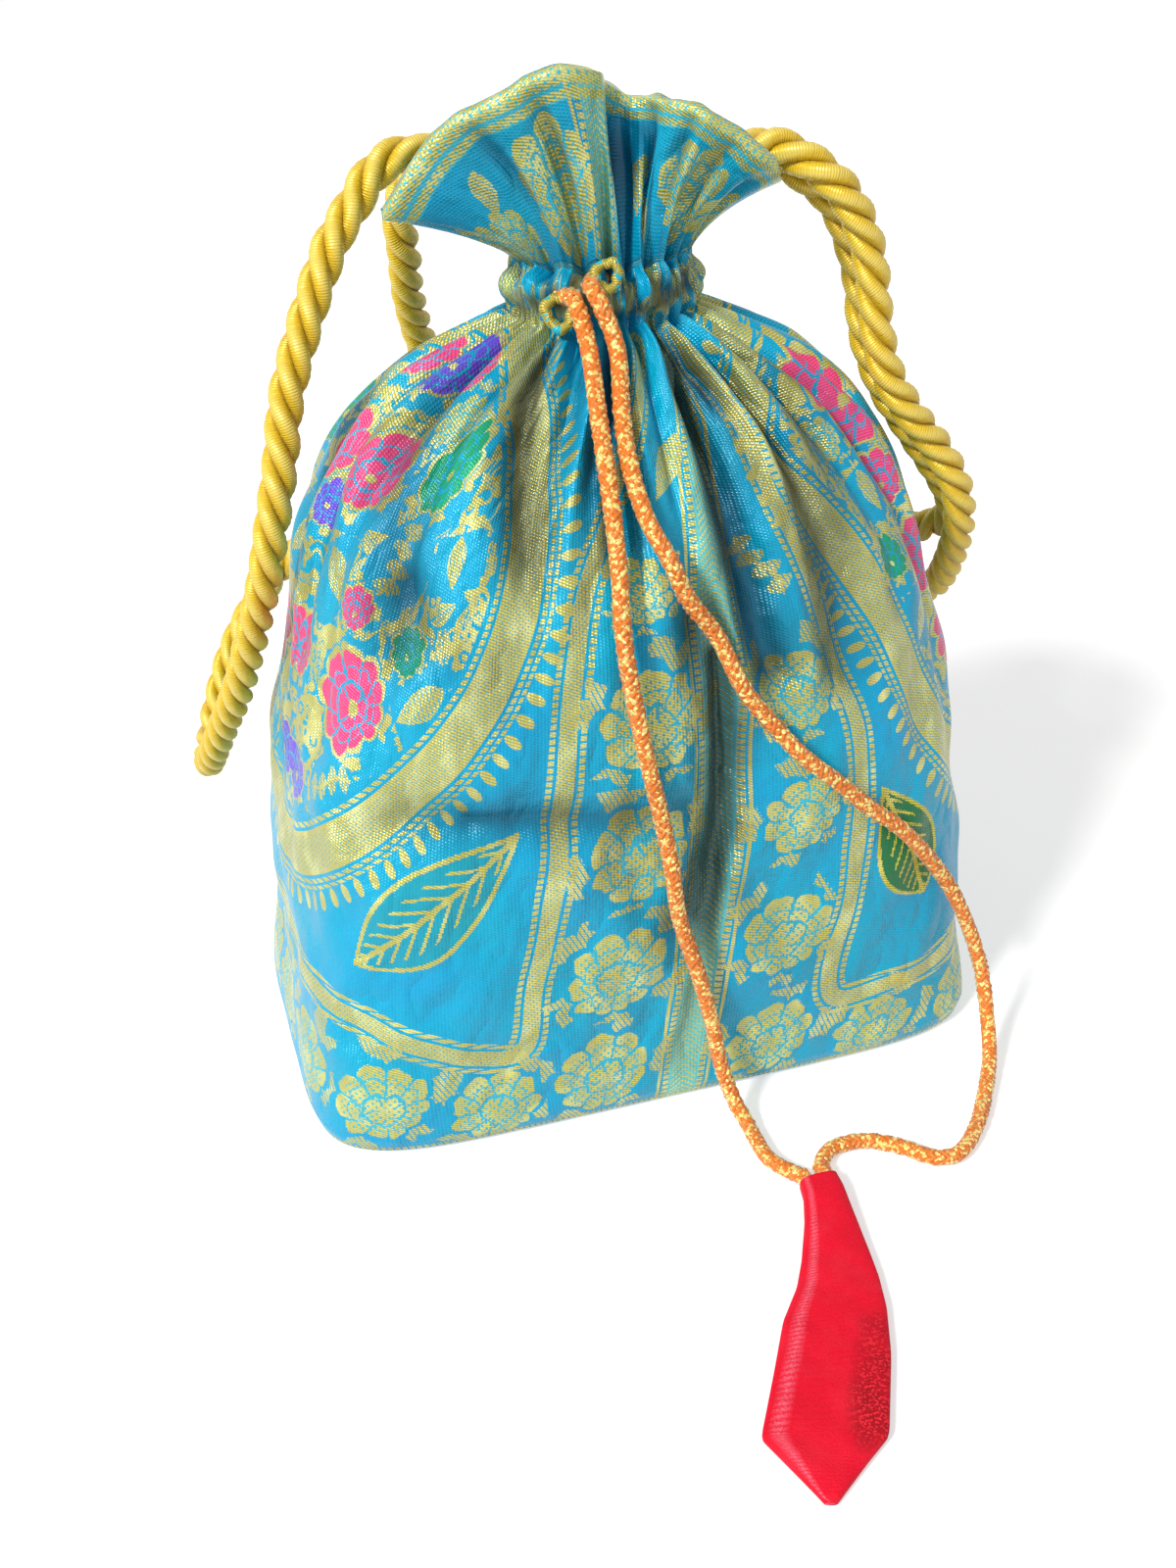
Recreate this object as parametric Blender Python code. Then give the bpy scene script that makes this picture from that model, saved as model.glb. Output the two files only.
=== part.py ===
"""Brocade potli bag, drawn shut, with a drawstring, a red tag and two rope handles.

Metres, +Z up. The origin is the middle of the base, on the surface that the bag
stands on. The front faces -Y and the width runs along X.
"""

import math

import bmesh
import bpy
import numpy as np

# Pouch: sections from the base up to the drawn neck and the drawstring channel
# (height, half width, half depth, squareness, middle x)
SECTIONS = (
    (0.0000, 0.0908, 0.0530, 6.4, 0.0000),
    (0.0014, 0.0932, 0.0554, 6.2, 0.0000),
    (0.0050, 0.0946, 0.0570, 5.8, 0.0000),
    (0.0140, 0.0946, 0.0580, 5.2, 0.0000),
    (0.0400, 0.0924, 0.0602, 4.4, 0.0000),
    (0.0800, 0.0898, 0.0605, 3.6, 0.0000),
    (0.1200, 0.0828, 0.0580, 3.1, 0.0000),
    (0.1500, 0.0755, 0.0525, 2.8, -0.0005),
    (0.1720, 0.0645, 0.0425, 2.5, -0.0010),
    (0.1850, 0.0495, 0.0310, 2.3, -0.0005),
    (0.1930, 0.0300, 0.0225, 2.1, 0.0000),
    (0.1965, 0.0212, 0.0170, 2.0, 0.0000),
    (0.2000, 0.0225, 0.0182, 2.0, 0.0000),
    (0.2045, 0.0222, 0.0180, 2.0, 0.0000),
    (0.2085, 0.0198, 0.0156, 2.0, 0.0000),
)
# Columns round the pouch, set closer together at the front than at the back
AROUND = 104
FRONT_CLOSER = 0.32
BASE_RINGS = (0.45, 0.80)
BODY_LEVELS = 18
BODY_TOP = 0.1720
SHOULDER_HEIGHTS = (0.1765, 0.1808, 0.1850, 0.1893, 0.1930, 0.1953)
NECK_HEIGHTS = (0.1968, 0.1984, 0.2002, 0.2024, 0.2046, 0.2066, 0.2085)

# Ruffle above the neck: its hem, round from +X through +Y (angle in degrees, x, y, z)
HEM = (
    (0, 0.0375, -0.0040, 0.2212),
    (22, 0.0350, 0.0090, 0.2205),
    (46, 0.0230, 0.0210, 0.2270),
    (70, 0.0080, 0.0225, 0.2375),
    (95, -0.0050, 0.0275, 0.2360),
    (120, -0.0195, 0.0270, 0.2262),
    (145, -0.0350, 0.0195, 0.2215),
    (163, -0.0410, 0.0080, 0.2250),
    (178, -0.0475, -0.0030, 0.2215),
    (196, -0.0525, -0.0120, 0.2225),
    (214, -0.0410, -0.0190, 0.2395),
    (234, -0.0280, -0.0245, 0.2470),
    (250, -0.0165, -0.0285, 0.2520),
    (261, -0.0080, -0.0255, 0.2510),
    (270, -0.0030, -0.0160, 0.2470),
    (280, 0.0030, -0.0145, 0.2440),
    (290, 0.0075, -0.0240, 0.2440),
    (304, 0.0145, -0.0310, 0.2410),
    (322, 0.0255, -0.0315, 0.2335),
    (340, 0.0335, -0.0245, 0.2270),
    (350, 0.0365, -0.0140, 0.2236),
)
RUFFLE_LEVELS = 5
RUFFLE_RISE = 0.60
RUFFLE_FLARE = 0.30
CLOTH = 0.0026
NECK_CLOTH = 0.0040
FUNNEL_FLOOR = 0.2105

# Gathers drawn in at the neck
PLEATS = 24
PLEAT_DEPTH = 0.0022
PLEAT_REACH = 0.055
PLEAT_FOOT = 0.080
PLEAT_ROUNDING = 0.02

# Folds pressed into the body: depth, width, then (angle in degrees, height) along each
FOLD_RADIUS = 0.075
FOLDS = (
    (0.0048, 0.0085, ((297, 0.191), (289, 0.183), (289, 0.168), (288, 0.152), (293, 0.125))),
    (0.0048, 0.0085, ((276, 0.137), (279, 0.123), (282, 0.107), (279, 0.082), (273, 0.060))),
    (0.0028, 0.0070, ((219, 0.097), (230, 0.0965), (240, 0.094), (256, 0.091), (270, 0.0895))),
    (0.0040, 0.0070, ((222, 0.191), (228, 0.182), (232, 0.172), (236, 0.156))),
    (0.0035, 0.0080, ((256, 0.190), (256, 0.176), (258, 0.160))),
    (0.0035, 0.0085, ((200, 0.186), (206, 0.170), (211, 0.154), (213, 0.138))),
    (0.0035, 0.0090, ((326, 0.186), (316, 0.164), (310, 0.146), (308, 0.120))),
    (0.0040, 0.0080, ((30, 0.184), (26, 0.160), (24, 0.130))),
    (0.0045, 0.0080, ((72, 0.188), (76, 0.160), (79, 0.125), (80, 0.090))),
    (0.0045, 0.0080, ((112, 0.188), (108, 0.165), (104, 0.140))),
    (0.0040, 0.0080, ((150, 0.184), (155, 0.160), (157, 0.130))),
)

# Unevenness of the gathers: waves round the neck, size and start in radians
PLEAT_SHIFTS = ((2, 0.16, 0.7), (5, 0.05, 2.1))

# Drawstring: one round cord, its middle hidden in the channel round the neck
CORD_RADIUS = 0.0022
CORD_SPACING = 0.0105
GAP = 0.0003
CHANNEL_MIDDLE = (0.0, 0.0, 0.2030)
CHANNEL_HALF_WIDE = 0.0140
CHANNEL_HALF_DEEP = 0.0100
CHANNEL_ANGLES = (196, 170, 140, 110, 80, 50, 20, -10, -40, -66)
LEFT_WAY_OUT = ((-0.0152, -0.0062, 0.2038), (-0.0148, -0.0110, 0.2044))
LEFT_OPENING = (-0.0133, -0.0172, 0.2040)
RIGHT_WAY_OUT = ((-0.0010, -0.0115, 0.2045), (-0.0060, -0.0140, 0.2064))
RIGHT_OPENING = (-0.0082, -0.0190, 0.2068)
END_LENGTH = 0.0025
LEFT_RUN = (
    (-0.0115, -0.0260, 0.1950),
    (-0.0130, -0.0375, 0.1825),
    (-0.0135, -0.0470, 0.1670),
    (-0.0140, -0.0535, 0.1540),
    (-0.0145, -0.0590, 0.1370),
    (-0.0115, -0.0615, 0.1155),
    (-0.0080, -0.0625, 0.0980),
    (-0.0050, -0.0635, 0.0815),
    (-0.0025, -0.0630, 0.0645),
    (0.0025, -0.0630, 0.0470),
    (0.0065, -0.0630, 0.0305),
    (0.0090, -0.0645, 0.0160),
    (0.0115, -0.0680, 0.0065),
    (0.0130, -0.0730, 0.0030),
    (0.0130, -0.0800, 0.0025),
    (0.0135, -0.0870, 0.0025),
    (0.0170, -0.0930, 0.0025),
)
RIGHT_RUN = (
    (-0.0080, -0.0245, 0.2035),
    (-0.0055, -0.0280, 0.1940),
    (-0.0075, -0.0370, 0.1820),
    (-0.0080, -0.0440, 0.1730),
    (-0.0065, -0.0505, 0.1635),
    (-0.0030, -0.0550, 0.1555),
    (0.0010, -0.0565, 0.1460),
    (0.0085, -0.0560, 0.1350),
    (0.0140, -0.0590, 0.1225),
    (0.0210, -0.0605, 0.1125),
    (0.0285, -0.0625, 0.1035),
    (0.0375, -0.0625, 0.0950),
    (0.0470, -0.0620, 0.0855),
    (0.0565, -0.0610, 0.0770),
    (0.0660, -0.0590, 0.0655),
    (0.0750, -0.0565, 0.0525),
    (0.0820, -0.0560, 0.0385),
    (0.0865, -0.0580, 0.0245),
    (0.0870, -0.0630, 0.0125),
    (0.0840, -0.0715, 0.0050),
    (0.0775, -0.0815, 0.0030),
    (0.0690, -0.0925, 0.0025),
    (0.0600, -0.1000, 0.0025),
    (0.0530, -0.0995, 0.0025),
    (0.0470, -0.0935, 0.0025),
    (0.0390, -0.0885, 0.0025),
    (0.0300, -0.0885, 0.0025),
    (0.0250, -0.0930, 0.0025),
)

# Tag: a flat padded piece on both ends of the drawstring, lying on the floor
# (left edge x, y, right edge x, y, thickness)
TAG = (
    (0.0168, -0.0985, 0.0268, -0.0985, 0.0056),
    (0.0158, -0.1030, 0.0266, -0.1030, 0.0058),
    (0.0130, -0.1100, 0.0256, -0.1106, 0.0050),
    (0.0074, -0.1210, 0.0240, -0.1225, 0.0042),
    (0.0030, -0.1282, 0.0226, -0.1310, 0.0040),
    (-0.0038, -0.1362, 0.0202, -0.1400, 0.0040),
    (-0.0109, -0.1480, 0.0154, -0.1520, 0.0038),
    (-0.0202, -0.1630, 0.0057, -0.1708, 0.0036),
    (-0.0180, -0.1690, -0.0010, -0.1750, 0.0034),
    (-0.0138, -0.1805, -0.0108, -0.1815, 0.0028),
)
TAG_LIFT = 0.0002
TAG_SIDES = 14
TAG_ROUNDING = 0.6
LEFT_TAG_END = (0.0190, TAG[0][1] + GAP, 0.0029)
RIGHT_TAG_END = (0.0245, TAG[0][1] + GAP, 0.0029)

# Two twisted rope handles, each sewn in at the left and the right of the ruffle
ROPE_RADIUS = 0.0043
ROPE_SPACING = 0.0115
HANDLE_LEFT = (
    (-0.0110, -0.0020, 0.2235),
    (-0.0180, 0.0015, 0.2265),
    (-0.0250, 0.0040, 0.2290),
    (-0.0380, 0.0070, 0.2320),
    (-0.0440, 0.0075, 0.2320),
    (-0.0500, 0.0070, 0.2290),
    (-0.0555, 0.0060, 0.2225),
    (-0.0630, 0.0040, 0.2120),
    (-0.0745, -0.0010, 0.1870),
    (-0.0790, -0.0035, 0.1690),
    (-0.0830, -0.0040, 0.1530),
    (-0.0865, 0.0010, 0.1360),
    (-0.0935, 0.0190, 0.1040),
    (-0.0975, 0.0330, 0.0870),
    (-0.1010, 0.0470, 0.0710),
    (-0.1025, 0.0620, 0.0590),
    (-0.1010, 0.0780, 0.0560),
    (-0.0965, 0.0890, 0.0640),
    (-0.0890, 0.0930, 0.0800),
    (-0.0780, 0.0905, 0.0980),
    (-0.0610, 0.0820, 0.1180),
    (-0.0400, 0.0710, 0.1370),
    (-0.0180, 0.0650, 0.1480),
    (0.0100, 0.0665, 0.1400),
    (0.0580, 0.0640, 0.1220),
    (0.0800, 0.0460, 0.1180),
    (0.0945, 0.0220, 0.1200),
    (0.0990, 0.0045, 0.1295),
    (0.0930, -0.0030, 0.1420),
    (0.0770, -0.0070, 0.1630),
    (0.0700, -0.0075, 0.1730),
    (0.0645, -0.0075, 0.1860),
    (0.0620, -0.0085, 0.1980),
    (0.0585, -0.0095, 0.2080),
    (0.0530, -0.0105, 0.2180),
    (0.0460, -0.0095, 0.2240),
    (0.0380, -0.0060, 0.2300),
    (0.0300, -0.0030, 0.2285),
    (0.0220, 0.0005, 0.2270),
    (0.0150, 0.0030, 0.2235),
)
HANDLE_RIGHT = (
    (-0.0120, 0.0110, 0.2235),
    (-0.0190, 0.0160, 0.2280),
    (-0.0275, 0.0215, 0.2310),
    (-0.0340, 0.0280, 0.2270),
    (-0.0385, 0.0325, 0.2195),
    (-0.0395, 0.0360, 0.2110),
    (-0.0380, 0.0410, 0.2030),
    (-0.0360, 0.0500, 0.1910),
    (-0.0310, 0.0630, 0.1750),
    (-0.0230, 0.0750, 0.1550),
    (-0.0090, 0.0820, 0.1310),
    (0.0110, 0.0860, 0.1090),
    (0.0330, 0.0870, 0.0930),
    (0.0560, 0.0840, 0.0830),
    (0.0770, 0.0740, 0.0810),
    (0.0930, 0.0560, 0.0850),
    (0.1020, 0.0360, 0.0930),
    (0.1040, 0.0190, 0.1020),
    (0.1000, 0.0040, 0.1155),
    (0.0945, -0.0095, 0.1330),
    (0.0890, -0.0150, 0.1470),
    (0.0810, -0.0160, 0.1590),
    (0.0740, -0.0170, 0.1670),
    (0.0670, -0.0175, 0.1770),
    (0.0630, -0.0180, 0.1870),
    (0.0610, -0.0185, 0.1960),
    (0.0585, -0.0195, 0.2070),
    (0.0545, -0.0205, 0.2160),
    (0.0500, -0.0210, 0.2225),
    (0.0450, -0.0200, 0.2270),
    (0.0405, -0.0180, 0.2300),
    (0.0350, -0.0155, 0.2320),
    (0.0285, -0.0140, 0.2305),
    (0.0215, -0.0120, 0.2275),
    (0.0150, -0.0090, 0.2240),
)


def smooth_through(xs, ys, x):
    """Values at x on a smooth curve through (xs, ys), without overshoot."""
    xs = np.asarray(xs, float)
    ys = np.asarray(ys, float)
    x = np.clip(x, xs[0], xs[-1])
    step = np.diff(xs)
    slope = np.diff(ys) / step
    tangent = np.zeros(len(xs))
    tangent[0] = slope[0]
    tangent[-1] = slope[-1]
    same_way = slope[:-1] * slope[1:] > 0
    mean = 2 * slope[:-1] * slope[1:] / np.where(same_way, slope[:-1] + slope[1:], 1)
    tangent[1:-1] = np.where(same_way, mean, 0)
    i = np.clip(np.searchsorted(xs, x, side="right") - 1, 0, len(step) - 1)
    t = (x - xs[i]) / step[i]
    rise = ys[i] * (1 + 2 * t) * (1 - t) ** 2 + ys[i + 1] * t * t * (3 - 2 * t)
    lean = step[i] * t * (1 - t) * ((1 - t) * tangent[i] - t * tangent[i + 1])
    return rise + lean


def curve_points(route, spacing):
    """Evenly spaced points on a smooth curve through the route's own points."""
    route = np.array(route, float)
    before = 2 * route[0] - route[1]
    after = 2 * route[-1] - route[-2]
    nodes = np.concatenate([[before], route, [after]])
    t = np.linspace(0, 1, 24, endpoint=False)[:, None]
    fine = []
    for a, b, c, d in zip(nodes, nodes[1:], nodes[2:], nodes[3:]):
        lean_out = (c - a) / 2
        lean_in = (d - b) / 2
        rise = b * (1 + 2 * t) * (1 - t) ** 2 + c * t * t * (3 - 2 * t)
        fine.append(rise + t * (1 - t) * ((1 - t) * lean_out - t * lean_in))
    fine = np.concatenate(fine + [route[-1:]])
    along = np.concatenate([[0], np.cumsum(np.linalg.norm(np.diff(fine, axis=0), axis=1))])
    wanted = np.linspace(0, along[-1], max(2, round(along[-1] / spacing) + 1))
    return np.stack([np.interp(wanted, along, fine[:, k]) for k in range(3)], -1)


def section(height, angle):
    """A point of the plain body section: a rounded rectangle, wider than deep."""
    heights = [row[0] for row in SECTIONS]
    wide, deep, square, middle = (
        smooth_through(heights, [row[k] for row in SECTIONS], height) for k in range(1, 5)
    )
    way = np.stack([np.cos(angle), np.sin(angle)], -1)
    reach = (np.abs(way[..., 0] / wide) ** square + np.abs(way[..., 1] / deep) ** square) ** (-1 / square)
    return np.stack([middle + reach * way[..., 0], reach * way[..., 1], height + 0 * angle], -1)


def pleat(angle):
    """Uneven gathers round the neck, from -1 in a groove to 1 on a ridge."""
    shifted = angle.copy()
    for waves, size, start in PLEAT_SHIFTS:
        shifted = shifted + size * np.sin(waves * angle + start)
    wave = np.cos(PLEATS * shifted)
    return 2 * np.sqrt((1 - wave) / 2 + PLEAT_ROUNDING) - 1


def fold_depth(angle, height):
    """How far the pressed folds push the cloth in, at each angle and height."""
    deep = np.zeros(np.broadcast(angle, height).shape)
    for depth, width, route in FOLDS:
        points = np.array([(math.radians(a) * FOLD_RADIUS, z) for a, z in route])
        here = np.stack(np.broadcast_arrays(angle * FOLD_RADIUS, height), -1)
        near = np.full(deep.shape, 1.0)
        for start, end in zip(points, points[1:]):
            way = end - start
            share = np.clip(((here - start) @ way) / (way @ way), 0, 1)
            near = np.minimum(near, np.linalg.norm(here - start - share[..., None] * way, axis=-1))
        deep = np.maximum(deep, depth * np.exp(-((near / width) ** 2)))
    return deep


def outward(points):
    """Unit normals of a grid of points, one row to a ring, facing away from the middle."""
    round_way = np.roll(points, -1, 1) - np.roll(points, 1, 1)
    up_way = np.gradient(points, axis=0)
    normal = np.cross(round_way, up_way)
    return normal / np.maximum(np.linalg.norm(normal, axis=-1, keepdims=True), 1e-9)


def body_rings():
    """Rings of the outer cloth from above the base edge to the top of the neck."""
    turn = np.linspace(0, 2 * math.pi, AROUND, endpoint=False)
    angle = turn - FRONT_CLOSER * np.cos(turn)
    first = [row[0] for row in SECTIONS[:3]]
    levels = list(np.linspace(SECTIONS[3][0], BODY_TOP, BODY_LEVELS))
    heights = np.array(first + levels + list(SHOULDER_HEIGHTS) + list(NECK_HEIGHTS))
    rings = np.array([section(np.full(AROUND, z), angle) for z in heights])
    neck = SHOULDER_HEIGHTS[-1]
    fade = np.exp(-np.maximum(neck - heights, 0) / PLEAT_REACH)
    fade = fade * np.clip(heights / PLEAT_FOOT, 0, 1)
    puff = pleat(angle)[None, :] * (fade * PLEAT_DEPTH)[:, None]
    moved = puff - fold_depth(angle[None, :], heights[:, None])
    moved[:2] = 0
    return rings + moved[..., None] * outward(rings), rings[-1], angle


def hem_points(angle):
    turned = np.degrees(angle) % 360
    marks = [row[0] - 360 for row in HEM] + [row[0] for row in HEM] + [row[0] + 360 for row in HEM]
    columns = [smooth_through(marks, [row[k] for row in HEM] * 3, turned) for k in (1, 2, 3)]
    return np.stack(columns, -1)


def ruffle_rings(neck_ring, hem):
    """Rings of cloth from the neck to the hem, rising first and then flaring out."""
    bend = neck_ring + (hem - neck_ring) * np.array([RUFFLE_FLARE, RUFFLE_FLARE, RUFFLE_RISE])
    share = np.linspace(0, 1, RUFFLE_LEVELS + 1)[:, None, None]
    return neck_ring * (1 - share) ** 2 + bend * 2 * share * (1 - share) + hem * share * share


def material(name, colour, roughness, metallic=0.0):
    made = bpy.data.materials.new(name)
    made.use_nodes = True
    shader = made.node_tree.nodes["Principled BSDF"]
    shader.inputs["Base Color"].default_value = (*colour, 1.0)
    shader.inputs["Roughness"].default_value = roughness
    shader.inputs["Metallic"].default_value = metallic
    return made


def add_object(name, mesh, made_of):
    made = bpy.data.objects.new(name, mesh)
    mesh.materials.append(made_of)
    bpy.context.scene.collection.objects.link(made)
    return made


def rings_to_mesh(name, rings, first_middle, last_middle):
    """A closed body through rings of equal count, closed by a fan at each end."""
    shape = bmesh.new()
    rows = [[shape.verts.new(point) for point in ring] for ring in rings]
    for low, high in zip(rows, rows[1:]):
        for i, vert in enumerate(low):
            j = (i + 1) % len(low)
            shape.faces.new((vert, low[j], high[j], high[i]))
    start = shape.verts.new(first_middle)
    end = shape.verts.new(last_middle)
    for i in range(len(rows[0])):
        j = (i + 1) % len(rows[0])
        shape.faces.new((start, rows[0][j], rows[0][i]))
        shape.faces.new((end, rows[-1][i], rows[-1][j]))
    mesh = bpy.data.meshes.new(name)
    shape.to_mesh(mesh)
    shape.free()
    mesh.shade_smooth()
    return mesh


def make_pouch():
    body, plain_neck, angle = body_rings()
    hem = hem_points(angle)
    ruffle = ruffle_rings(body[-1], hem)
    lining = ruffle_rings(plain_neck, hem)
    thick = np.linspace(NECK_CLOTH, CLOTH, len(lining))[:, None, None]
    lining = lining - outward(lining) * thick
    base = body[0]
    under = [base * np.array([share, share, 1]) for share in BASE_RINGS]
    floor = np.array([*lining[0].mean(0)[:2], FUNNEL_FLOOR])
    closing = floor + (lining[0] - floor) * np.array([0.5, 0.5, 0])
    rings = np.concatenate([under, body, ruffle[1:], lining[::-1], closing[None]])
    mesh = rings_to_mesh("pouch", rings, base.mean(0), floor)
    return add_object("pouch", mesh, material("turquoise_brocade", (0.0, 0.36, 0.55), 0.42))


def add_tube(name, points, radius, resolution, made_of):
    """A round tube with closed ends, as a curve object."""
    curve = bpy.data.curves.new(name, "CURVE")
    curve.dimensions = "3D"
    curve.bevel_depth = radius
    curve.bevel_resolution = resolution
    curve.use_fill_caps = True
    line = curve.splines.new("POLY")
    line.points.add(len(points) - 1)
    for point, place in zip(line.points, points):
        point.co = (*place, 1.0)
        point.tilt = 0.0
    line.use_smooth = True
    return add_object(name, curve, made_of)


def channel_route():
    """The drawstring's hidden way round the neck, from the left opening to the right one."""
    middle = np.array(CHANNEL_MIDDLE)
    turn = [math.radians(angle) for angle in CHANNEL_ANGLES]
    wide, deep = CHANNEL_HALF_WIDE, CHANNEL_HALF_DEEP
    ring = [middle + np.array([wide * math.cos(a), deep * math.sin(a), 0]) for a in turn]
    return [LEFT_OPENING, *LEFT_WAY_OUT[::-1], *ring, *RIGHT_WAY_OUT, RIGHT_OPENING]


def cut_channel(target, points):
    """The channel that the drawstring runs in, cut through the gathered cloth."""
    outside = [2 * points[0] - points[1], *points, 2 * points[-1] - points[-2]]
    cutter = add_tube("channel_cutter", outside, CORD_RADIUS + GAP, 2, target.data.materials[0])
    depsgraph = bpy.context.evaluated_depsgraph_get()
    shape = bpy.data.meshes.new_from_object(cutter.evaluated_get(depsgraph))
    bpy.data.objects.remove(cutter)
    solid = bmesh.new()
    solid.from_mesh(shape)
    bmesh.ops.remove_doubles(solid, verts=solid.verts, dist=1e-6)
    bmesh.ops.recalc_face_normals(solid, faces=solid.faces)
    solid.to_mesh(shape)
    solid.free()
    cutter = bpy.data.objects.new("channel_cutter", shape)
    bpy.context.scene.collection.objects.link(cutter)
    cutter.hide_render = True
    cutter.display_type = "WIRE"
    cut = target.modifiers.new("drawstring_channel", "BOOLEAN")
    cut.operation = "DIFFERENCE"
    cut.object = cutter


def run_route(opening, inside, run, tag_end):
    """A free run: it leaves the channel straight on, and comes to the tag square to its end."""
    opening = np.array(opening)
    way = (opening - inside) / np.linalg.norm(opening - inside)
    start = opening + way * GAP
    tag_end = np.array(tag_end)
    before = tag_end + np.array([0, END_LENGTH, 0])
    return np.array([start, start + way * END_LENGTH, *run, before, tag_end]), way


def make_drawstring(made_of):
    hidden = curve_points(channel_route(), CORD_SPACING / 2)
    add_tube("drawstring_in_channel", hidden, CORD_RADIUS, 2, made_of)
    ends = (
        ("drawstring_left", hidden[0], hidden[1], LEFT_RUN, LEFT_TAG_END),
        ("drawstring_right", hidden[-1], hidden[-2], RIGHT_RUN, RIGHT_TAG_END),
    )
    for name, opening, inside, run, tag_end in ends:
        route, way = run_route(opening, inside, run, tag_end)
        points = curve_points(route, CORD_SPACING)
        points = np.concatenate([points[:1], route[1:2], points[1:-1], route[-2:]])
        add_tube(name, points, CORD_RADIUS, 2, made_of)
    return hidden


def make_tag(made_of):
    """A padded necktie shape, flat side down, with its top closed over the cord ends."""
    turn = np.linspace(0, 2 * math.pi, TAG_SIDES, endpoint=False)
    rings = []
    for left_x, left_y, right_x, right_y, thick in TAG:
        left = np.array([left_x, left_y, TAG_LIFT + thick / 2])
        right = np.array([right_x, right_y, TAG_LIFT + thick / 2])
        across = np.sign(np.cos(turn)) * np.abs(np.cos(turn)) ** TAG_ROUNDING
        up = np.sign(np.sin(turn)) * np.abs(np.sin(turn)) ** TAG_ROUNDING
        ring = (left + right) / 2 + across[:, None] * (right - left) / 2
        rings.append(ring + up[:, None] * np.array([0, 0, thick / 2]))
    mesh = rings_to_mesh("tag", rings, rings[0].mean(0), rings[-1].mean(0))
    return add_object("tag", mesh, made_of)


for old in list(bpy.data.objects):
    bpy.data.objects.remove(old)

pouch = make_pouch()
cord_thread = material("orange_cord", (0.87, 0.19, 0.02), 0.55)
hidden_run = make_drawstring(cord_thread)
cut_channel(pouch, hidden_run)
make_tag(material("red_velvet", (0.75, 0.01, 0.03), 0.65))
gold_rope = material("gold_rope", (0.80, 0.58, 0.08), 0.35, 0.2)
add_tube("handle_left", curve_points(HANDLE_LEFT, ROPE_SPACING), ROPE_RADIUS, 3, gold_rope)
add_tube("handle_right", curve_points(HANDLE_RIGHT, ROPE_SPACING), ROPE_RADIUS, 3, gold_rope)
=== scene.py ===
"""Looks of the brocade potli bag: cloth, drawstring, tag and rope handles.

Metres, +Z up. The front faces -Y. Routes and sections repeat the ones in the CAD source.
"""

import math

import bpy
import numpy as np
from mathutils import Matrix, Vector


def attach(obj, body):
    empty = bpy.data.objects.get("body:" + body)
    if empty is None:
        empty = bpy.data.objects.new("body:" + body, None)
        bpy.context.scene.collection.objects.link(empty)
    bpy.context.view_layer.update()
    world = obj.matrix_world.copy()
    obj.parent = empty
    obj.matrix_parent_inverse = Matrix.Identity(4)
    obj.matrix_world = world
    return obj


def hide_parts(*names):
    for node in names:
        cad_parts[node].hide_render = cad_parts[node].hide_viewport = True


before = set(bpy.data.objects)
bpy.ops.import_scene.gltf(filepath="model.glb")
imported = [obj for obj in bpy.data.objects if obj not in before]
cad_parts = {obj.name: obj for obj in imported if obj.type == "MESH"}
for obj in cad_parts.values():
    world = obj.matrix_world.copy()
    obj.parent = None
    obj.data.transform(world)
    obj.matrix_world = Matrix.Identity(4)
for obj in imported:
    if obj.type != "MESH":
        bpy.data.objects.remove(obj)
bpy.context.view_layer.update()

BODY = "root"
TINY = 0.001

# Camera: 1200 x 1600 frame, worked out from the base's corners and the neck
CAMERA_PLACE = (-0.1185, -0.3737, 0.3000)
CAMERA_RIGHT = (0.95415, -0.29876, -0.01844)
CAMERA_UP = (0.16804, 0.48365, 0.85898)
LENS = 38.25
SENSOR = 36.0

# Light: the sky's strength, and the sun's place, strength and softness in degrees
SKY = 0.44
SUN_FROM = (-0.66, -0.40, 0.64)
SUN_POWER = 3.1
SUN_SOFTNESS = 10.0
FLOOR_HALF = 3.0
FLOOR_GLOW = 0.50

# Pouch: sections (height, half width, half depth, squareness, middle x)
SECTIONS = (
    (0.0, 0.0908, 0.053, 6.4, 0.0),
    (0.0014, 0.0932, 0.0554, 6.2, 0.0),
    (0.005, 0.0946, 0.057, 5.8, 0.0),
    (0.014, 0.0946, 0.058, 5.2, 0.0),
    (0.04, 0.0924, 0.0602, 4.4, 0.0),
    (0.08, 0.0898, 0.0605, 3.6, 0.0),
    (0.12, 0.0828, 0.058, 3.1, 0.0),
    (0.15, 0.0755, 0.0525, 2.8, -0.0005),
    (0.172, 0.0645, 0.0425, 2.5, -0.001),
    (0.185, 0.0495, 0.031, 2.3, -0.0005),
    (0.193, 0.03, 0.0225, 2.1, 0.0),
    (0.1965, 0.0212, 0.017, 2.0, 0.0),
    (0.2, 0.0225, 0.0182, 2.0, 0.0),
    (0.2045, 0.0222, 0.018, 2.0, 0.0),
    (0.2085, 0.0198, 0.0156, 2.0, 0.0),
)
# Columns round the pouch, closer together at the front, and rings up it
COLUMNS = 440
FRONT_CLOSER = 0.32
BASE_RINGS = (0.30, 0.60, 0.80, 0.93)
EDGE_HEIGHTS = (0.0, 0.0014, 0.0050, 0.0080, 0.0110)
BASE_TOP = 0.0140
NECK_BOTTOM = 0.1953
NECK_TOP = 0.2085
LEVELS = ((BASE_TOP, 0.1720, 104), (0.1720, NECK_BOTTOM, 22), (NECK_BOTTOM, NECK_TOP, 18))

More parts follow.
